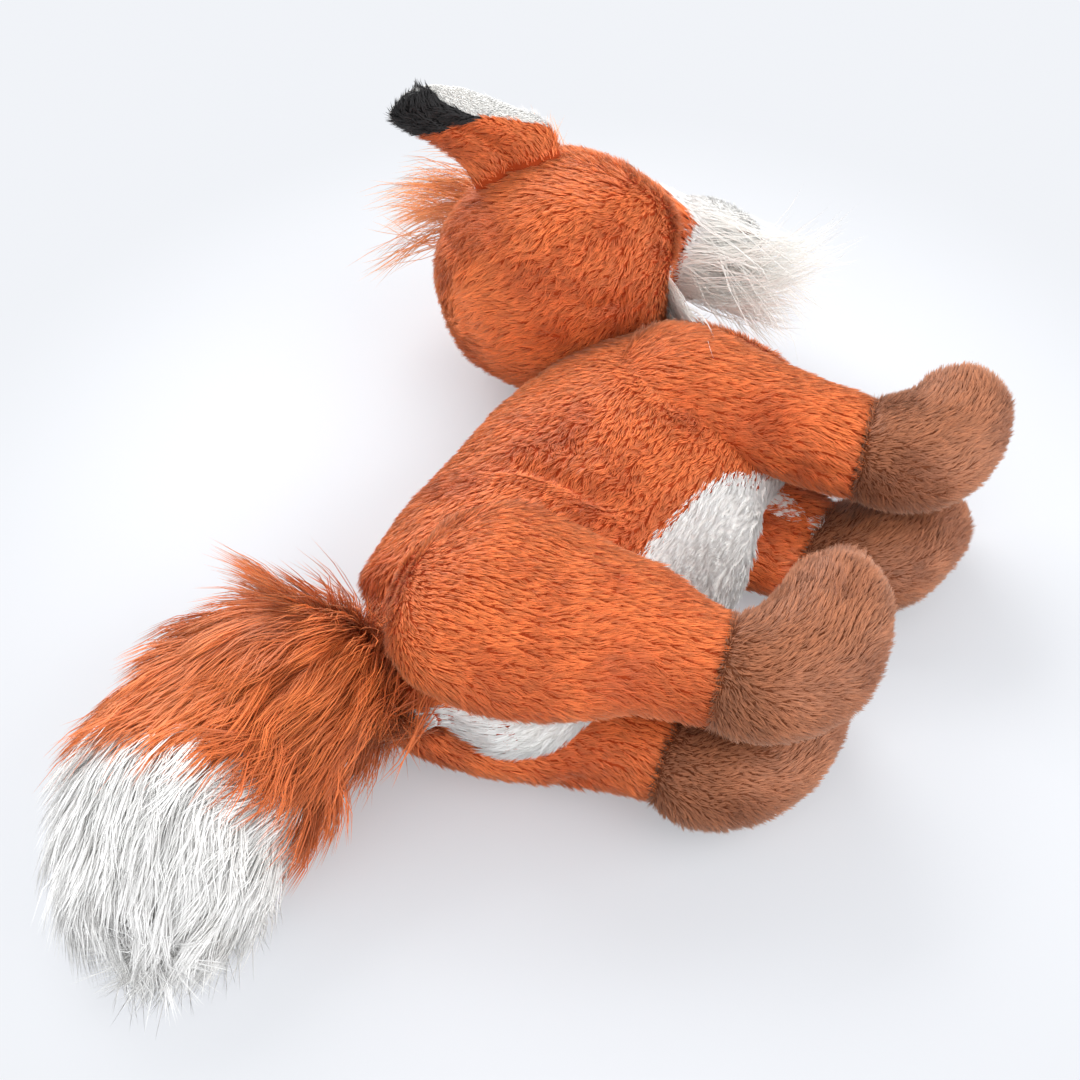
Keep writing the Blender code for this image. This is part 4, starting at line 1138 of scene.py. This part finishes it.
def face_weight(surface):
    """Share of white on the head: 1 ahead of a wavy edge round the muzzle that runs back under the chin.

    The edge is laid on the form without its cheeks.
    """
    local = face_frame(FORMS["head"].points)
    under = smooth(local[..., 0], -0.034, -0.016) * smooth(-np.abs(local[..., 2]), -0.040, -0.022)
    edge = FACE_EDGE * (1 - under) + FACE_EDGE_UNDER * under + 0.0012 * noise(surface.points, 0.006, 31)
    return smooth(local[..., 1] - edge, -0.0005, 0.0005)


def bare_spots(surface):
    """Weight of pile: none under the eyes and the nose."""
    weight = np.ones(surface.points.shape[:2])
    for _, place, facing, side, _, wide, _ in BUTTONS:
        middle, _ = button_seat(place, facing, side)
        distance = np.linalg.norm(surface.points - middle, axis=-1)
        weight *= smooth(distance, 0.0062 * wide, 0.0072 * wide)
    return weight


def button_seat(place, facing, side):
    """Middle of a button on the head's skin and the way it faces.

    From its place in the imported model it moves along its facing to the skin, if that lies ahead.
    """
    rise, forward, aside = place
    middle = from_face((-rise * HEAD_RADIUS - HEAD_TO_NECK, forward * HEAD_RADIUS, side * aside * HEAD_RADIUS))
    way = face_way(unit(np.array(facing) * (1, 1, side)))
    surface = head_surface()
    away = surface.points - middle
    along = away @ way
    near = (np.linalg.norm(away - along[..., None] * way, axis=-1) < 0.0025) & (surface.normals @ way > 0)
    return middle + way * max(along[near].mean() if near.any() else 0, 0), way


class FOX_OT_face(bpy.types.Operator):
    """Build the eyes, the nose and the stitched mouth."""

    bl_idname = "fox.face"
    bl_label = "Face"

    def execute(self, context):
        gloss = button_material()
        for name, place, facing, side, profile, wide, pinch in BUTTONS:
            obj = button(f"{name}_dome", place, facing, side, profile, wide, pinch, gloss)
            furnish(obj, "head", (name,))
            slots = frame["nodes"][f"{name}_washer"].data.materials
            slots.clear()
            slots.append(cloth_material("washer_plastic", *CLOTHS["washer_plastic"]))
        thread = cloth_material("mouth_thread", (0.10, 0.035, 0.02, 1), colour_of("mouth"), 2500.0)
        for number, line in enumerate(MOUTH_LINES):
            path = on_muzzle(curve_through(line, np.linspace(0, 1, 18)))
            obj = skin(f"mouth_stitch_{number + 1}", thread_tube(path, MOUTH_THREAD), thread)
            furnish(obj, "head")
        return {"FINISHED"}


def button(name, place, facing, side, profile, wide, pinch, material):
    """Domed button turned from a profile of (radius, height) about its facing.

    The radius across is stretched by a width share, and its lower half drawn in by a pinch.
    """
    middle, way = button_seat(place, facing, side)
    chin = face_way((1, 0, 0))
    across = unit(np.cross(way, chin))
    down = np.cross(across, way)
    down = down * np.sign(down @ chin)
    line = curve_through(profile, np.linspace(0, 1, 34))
    v = np.linspace(0, math.tau, 40, endpoint=False)
    narrow = 1 - pinch * smooth(np.sin(v), -0.4, 1)
    sideways = line[:, :1] * np.cos(v) * narrow * wide
    points = middle + (
        sideways[..., None] * across + (line[:, :1] * np.sin(v))[..., None] * down + line[:, 1, None, None] * way
    )
    return skin(name, Surface(points), material)


def on_muzzle(path):
    """Lay a path on the head's skin: each point moves to the nearest vertex, a little above it."""
    surface = head_surface()
    flat, normals = surface.points.reshape(-1, 3), surface.normals.reshape(-1, 3)
    world = np.array([from_face(place) for place in path])
    nearest = np.argsort(np.linalg.norm(flat[None] - world[:, None], axis=-1), axis=1)[:, :6]
    laid = (flat[nearest] + normals[nearest] * 0.0022).mean(axis=1)
    kernel = np.array([0.25, 0.5, 0.25])
    for _ in range(3):
        laid[1:-1] = sum(laid[k:len(laid) - 2 + k] * kernel[k] for k in range(3))
    return laid


def thread_tube(path, radius):
    """Round tube along a path: rings of radius * (cos v, sin v), square to it, shut at both ends."""
    way = unit(np.gradient(path, axis=0))
    side = unit(np.cross(way, (0.31, 0.22, 0.92)))
    rise = np.cross(side, way)
    v = np.linspace(0, math.tau, 10, endpoint=False)
    size = np.full(len(path), radius)
    size[[0, -1]] = 0
    ring = side[:, None] * np.cos(v)[:, None] + rise[:, None] * np.sin(v)[:, None]
    return Surface(path[:, None] + ring * size[:, None, None])


class FOX_OT_ears(bpy.types.Operator):
    """Build each ear's back, dark tip and lining."""

    bl_idname = "fox.ears"
    bl_label = "Ears"

    def execute(self, context):
        for number, side in enumerate((1, -1)):
            body = "ear_right" if side > 0 else "ear_left"
            place, out, _, _ = ear_axes(side)
            bend = "head", body, place - out * 0.002, place + out * 0.012
            for layer, first, last, face, hue, length in EAR_LAYERS:
                top, low = ear_sheet(side, first, last, face)
                label = f"{body}_{layer}"
                sheet = slab(f"{label}_cloth", top, low, backing(hue))
                furnish(sheet, body, (label,), bend)
                flow = comb_flow(top, 0, 0.4, 0.015, 90 + number)
                pile_pieces(f"{label}_pile", top, covered(top, ("head",), 0), flow, short_pile(length, lift=34),
                            f"{hue}_pile", body, 91 + 7 * number + face, bend)
        return {"FINISHED"}


def ear_axes(side):
    """Place of an ear's root and its directions: out of the head, through the cloth, along the root."""
    mirror = np.array([1, 1, side])
    radial, root = unit(EAR_PLACE_SHARES * mirror), unit(EAR_LINE_SHARES * mirror)
    out = unit(radial - root * (radial @ root))
    through = np.cross(root, out)
    fold = EAR_LEFT_FOLD if side < 0 else 0
    out, through = (
        out * math.cos(fold) + through * math.sin(fold), through * math.cos(fold) - out * math.sin(fold)
    )
    place = from_face(np.array([-HEAD_TO_NECK, 0, 0]) + radial * (HEAD_RADIUS + EAR_STAND_OFF))
    return (place, *(face_way(way) for way in (out, through, root)))


def ear_sheet(side, first, last, face):
    """One layer of an ear: its outer grid and its inner one.

    At share p of the length and angle f round the ear, the outer layer stands p * length out,
    cos(f) * half width along the root, and sin(f) * swell from the middle sheet, which cups by
    cos(f)^2 * sin(pi p) towards the lining. The back spans f from 0 to the seam and the lining
    the rest, so the lining's edge shows beside the back along the front of the ear.
    """
    place, out, through, root = ear_axes(side)
    lean = EAR_LEANS[side]
    table = np.array(EAR_ROW_SHARES)
    p = np.linspace(first, last, 60)[:, None]
    flat = np.clip(p, 0, 1)
    seam = math.pi - np.interp(flat, *np.array(EAR_SEAM).T)
    t = np.linspace(0, 1, 60)[None, :]
    f = seam * (1 - t) if face < 0 else seam + (math.tau - seam) * t
    across, bulge = np.cos(f), np.sin(f)
    rows = curve_through(table[:, 1:], flat[:, 0])
    half = rows[:, :1] * EAR_WIDTH
    rounded = np.sqrt(np.clip(1 - ((p - 0.80) / 0.215) ** 2, 0, 1))
    half = np.where(p > 0.80, half * (0.12 + 0.88 * rounded), half)
    x = EAR_LENGTH * p - EAR_ROOT_DROP * across ** 2 * (1 - p)
    cup = EAR_CUP * across ** 2 * np.sin(math.pi * flat) * side
    crease = 0.6 * np.exp(-(((across - 0.15) / 0.22) ** 2)) * (bulge > 0) * smooth(1 - flat, 0.1, 0.5)
    swell = EAR_SWELL * bulge * (1 - crease) * np.sqrt(np.clip(1.02 - flat ** 4, 0, 1))
    z = across * half + lean * EAR_WIDTH * rows[:, 1:]
    middle = place + x[..., None] * out + z[..., None] * root + cup[..., None] * through
    middle[..., 2] = np.maximum(middle[..., 2], EAR_SWELL + 2 * FLOOR_LIFT)
    top = Surface(middle - (side * swell)[..., None] * through, False, side < 0)
    low = middle - (side * 0.55 * swell)[..., None] * through
    return top, low


class FOX_OT_legs(bpy.types.Operator):
    """Build the four legs with their feet, pile and filling."""

    bl_idname = "fox.legs"
    bl_label = "Legs"

    def execute(self, context):
        for number, (leg, _, _, _, _, turn, ankle) in enumerate(LEGS):
            build_leg(leg, turn, ankle, number)
        return {"FINISHED"}


def build_leg(leg, turn, ankle, number):
    """Skin, foot, pile and filling of one leg."""
    surface = pressed(soft_lumps(FORMS[leg].moved(-SKIN_DEPTH), seed=40 + number), LEG_CREASES.get(leg, ()))
    hub, way = joint_place(leg), np.array([math.cos(turn), math.sin(turn), 0])
    bend = "trunk", leg, hub + way * 0.012, hub + way * 0.058
    split = int(np.argmax((surface.points.mean(axis=1) - hub) @ way > ankle))
    cover, _, cap = surface.rows(0, split)
    foot, lead, _ = surface.rows(split + 1, len(surface.points) - 1)
    stuffed_skin(f"{leg}_skin", cover, "orange", "trunk", f"{leg}_cover", bend)
    stuffed_skin(f"{leg}_foot_skin", foot, "brown", leg, f"{leg}_foot")
    shown = covered(cover, ("trunk",)) * shaded_from_floor(cover)
    shown[len(shown) - cap:] = 0
    pile_pieces(f"{leg}_pile", cover, shown, comb_flow(cover, 0, seed=50 + number), short_pile(), "orange_pile",
                leg, 60 + number, bend, 2 if leg.endswith("right") else 1)
    shown = shaded_from_floor(foot)
    shown[:lead] = 0
    sizes = bpy.context.scene.fox_pile
    density, clump = sizes.short_density * 1.1, sizes.clump * 0.8
    dense = Pile(sizes.foot_length, sizes.short_width, density, clump, 42, 20, 30, 0.5)
    pile_pieces(f"{leg}_foot_pile", foot, shown, comb_flow(foot, 0, 0.7, 0.018, seed=55 + number), dense,
                "brown_pile", leg, 70 + number)
    filling_piece(f"{leg}_fibre", leg, f"{leg}_filling", bend)


class FOX_OT_tail(bpy.types.Operator):
    """Build the tail's core and its shaggy pile."""

    bl_idname = "fox.tail"
    bl_label = "Tail"

    def execute(self, context):
        surface = soft_lumps(FORMS["tail"].moved(-SKIN_DEPTH), seed=80)
        root = joint_place("tail")
        bend = "trunk", "tail", root + (0.01, 0.012, 0), root + (-0.01, -0.025, 0)
        reach = (root[1] - surface.points.mean(axis=1)[:, 1]) / TAIL_LENGTH
        split = int(np.argmax(reach > TAIL_SEAM_SHARE))
        base, tip = surface.rows(0, split)[0], surface.rows(split + 1, len(surface.points) - 1)[0]
        stuffed_skin("tail_base_skin", base, "tail", "tail", "tail_base", bend)
        stuffed_skin("tail_tip_skin", tip, "white", "tail", "tail_tip")
        filling_piece("tail_fibre", "tail", "tail_filling", bend)
        along = (root[1] - surface.points[..., 1]) / TAIL_LENGTH
        edge = along + 0.05 * noise(surface.points, 0.012, 81)
        white = smooth(edge, TAIL_SEAM_SHARE - 0.01, TAIL_SEAM_SHARE + 0.01)
        shown = shaded_from_floor(surface) * covered(surface, ("trunk",))
        sizes = bpy.context.scene.fox_pile
        flow = comb_flow(surface, 0, 0.5, 0.03, 82)
        long = Pile(sizes.tail_length, sizes.tail_width, 0.62, 0.008, 26, 2, 24, 0.55, 3, 0.16)
        under = Pile(sizes.tail_length * 0.5, sizes.tail_width * 0.9, 1.2, 0.005, 24, 8, 24, 0.5, 1)
        for kind, pile, seed in (("shag", long, 83), ("undercoat", under, 85)):
            pile_pieces(f"tail_orange_{kind}", surface, shown * (1 - white), flow, pile, "tail_orange_pile",
                        "tail", seed, bend)
            pile_pieces(f"tail_white_{kind}", surface, shown * white, flow, pile, "tail_white_pile",
                        "tail", seed + 1)
        rump = FORMS["trunk"]
        distance = np.linalg.norm((rump.points - RUMP_SPOT[:3]) / RUMP_SPOT[3:], axis=-1)
        weight = np.exp(-(distance ** 2)) * (distance < 1.5) * covered(rump, [row[0] for row in LEGS])
        way = np.broadcast_to(unit(np.array(RUMP_WAY)), rump.points.shape)
        edge = Pile(sizes.tail_length * 0.8, sizes.tail_width, 0.9, 0.008, 20, 0, 26, 0.5, 3, 0.14)
        grown = grow(rump, weight, way, edge, 87)
        shag = strands("tail_root_shag", grown, edge.width, pile_material("tail_orange_pile"))
        furnish(shag, "trunk")
        return {"FINISHED"}


class FOX_OT_tufts(bpy.types.Operator):
    """Build the crown's tuft and the throat's ruff."""

    bl_idname = "fox.tufts"
    bl_label = "Tufts"

    def execute(self, context):
        head = FORMS["head"]
        place = face_frame(head.points)
        white = face_weight(head)
        for name, spot, radius, way, material, slot, sizes, seed in TUFTS:
            pile = Pile(*sizes)
            distance = np.linalg.norm((place - spot) / radius, axis=-1)
            weight = np.exp(-(distance ** 2)) * (distance < 1.6) * (white if name == "throat_ruff" else 1)
            grown = grow(head, weight, np.broadcast_to(face_way(way), head.points.shape), pile, seed)
            obj = strands(f"{name}_pile", grown, pile.width, pile_material(material))
            furnish(obj, "head", (name,) if name in frame["nodes"] else ())
        return {"FINISHED"}


class FOX_OT_stage(bpy.types.Operator):
    """Build the floor, the lamps and the camera."""

    bl_idname = "fox.stage"
    bl_label = "Stage"

    def execute(self, context):
        scene = context.scene
        scene.view_settings.view_transform = "Standard"
        corners = [(x * FLOOR_REACH, y * FLOOR_REACH, 0) for x, y in ((-1, -1), (1, -1), (1, 1), (-1, 1))]
        floor = mesh_object("floor", corners, [(0, 1, 2, 3)], floor_material())
        world = bpy.data.worlds.new("studio")
        scene.world = world
        world.use_nodes = True
        sky = world.node_tree.nodes["Background"]
        fill_inputs(world.node_tree, sky, {"Color": WORLD_COLOUR, "Strength": WORLD_STRENGTH})
        seen_white(world.node_tree, sky, "Background", "World Output")
        target = Vector(VIEW_TARGET)
        for name, place, size, power in LAMPS:
            light = bpy.data.lights.new(name, "AREA")
            light.size = size
            light.energy = power
            lamp = bpy.data.objects.new(name, light)
            lamp.location = place
            lamp.rotation_euler = (target - Vector(place)).to_track_quat("-Z", "Y").to_euler()
            scene.collection.objects.link(lamp)
        camera = bpy.data.cameras.new("camera")
        camera.angle = VIEW_ANGLE
        camera.clip_start = 0.01
        eye = bpy.data.objects.new("camera", camera)
        level = math.cos(VIEW_ELEVATION)
        back = Vector((
            level * math.sin(VIEW_AZIMUTH), -level * math.cos(VIEW_AZIMUTH), math.sin(VIEW_ELEVATION)
        ))
        eye.location = target + back * VIEW_DISTANCE
        eye.rotation_euler = back.to_track_quat("Z", "Y").to_euler()
        scene.collection.objects.link(eye)
        scene.camera = eye
        return {"FINISHED"}


def seen_white(tree, shader, kind, output, far=1.0):
    """Show a plain backdrop to camera, mirror and glass rays, by a share of how far off it is."""
    path = add_node(tree, "LightPath").outputs
    seen = computed(tree, "MAXIMUM", path["Is Camera Ray"], path["Is Glossy Ray"])
    seen = computed(tree, "MULTIPLY", computed(tree, "MAXIMUM", seen, path["Is Transmission Ray"]), far)
    plain = add_node(tree, kind, {"Color": BACKDROP, "Strength": 1})
    shown = add_node(tree, "MixShader", {0: seen, 1: shader.outputs[0], 2: plain.outputs[0]})
    tree.links.new(shown.outputs[0], tree.nodes[output].inputs["Surface"])


def floor_material():
    """Pale seamless paper that runs into a plain backdrop away from the fox."""
    material, tree, shader = principled("seamless_paper", {
        "Roughness": 0.9, "Specular IOR Level": 0.1, "Base Color": colour_of("floor"),
    })
    where = add_node(tree, "TexCoord").outputs["Object"]
    length = add_node(tree, "VectorMath", {0: where}, operation="LENGTH").outputs["Value"]
    fade = add_node(tree, "MapRange", {
        "Value": length, "From Min": 0.16, "From Max": 0.38, "To Min": 0.30,
    }, interpolation_type="SMOOTHSTEP")
    seen_white(tree, shader, "Emission", "Material Output", fade.outputs["Result"])
    return material


class FOX_PT_panel(bpy.types.Panel):
    """Lists the fox's settings and builders."""

    bl_label = "Plush fox"
    bl_idname = "FOX_PT_panel"
    bl_space_type = "VIEW_3D"
    bl_region_type = "UI"
    bl_category = "Fox"

    def draw(self, context):
        for group in (context.scene.fox_pile, context.scene.fox_colours):
            for name in group.__annotations__:
                self.layout.prop(group, name)
        for operator in OPERATORS:
            self.layout.operator(operator.bl_idname)


OPERATORS = (
    FOX_OT_stage, FOX_OT_trunk, FOX_OT_head, FOX_OT_face, FOX_OT_ears, FOX_OT_legs, FOX_OT_tail, FOX_OT_tufts,
)
GROUPS = (FoxPile, FoxColours)


def register():
    """Register the settings, the operators and the panel."""
    for kind in (*GROUPS, *OPERATORS, FOX_PT_panel):
        bpy.utils.register_class(kind)
    bpy.types.Scene.fox_pile = PointerProperty(type=FoxPile)
    bpy.types.Scene.fox_colours = PointerProperty(type=FoxColours)


def unregister():
    """Take them away again."""
    del bpy.types.Scene.fox_pile
    del bpy.types.Scene.fox_colours
    for kind in (FOX_PT_panel, *OPERATORS[::-1], *GROUPS[::-1]):
        bpy.utils.unregister_class(kind)


FORMS, CORES = {}, {}


def main():
    """Build the fox and its stage."""
    register()
    FORMS.update(build_forms(SKIN_GRIDS))
    CORES.update(build_forms(CORE_GRIDS, FILLING_INSET))
    for build in (
        bpy.ops.fox.stage, bpy.ops.fox.trunk, bpy.ops.fox.head, bpy.ops.fox.face, bpy.ops.fox.ears,
        bpy.ops.fox.legs, bpy.ops.fox.tail, bpy.ops.fox.tufts,
    ):
        build()


if __name__ == "__main__":
    main()
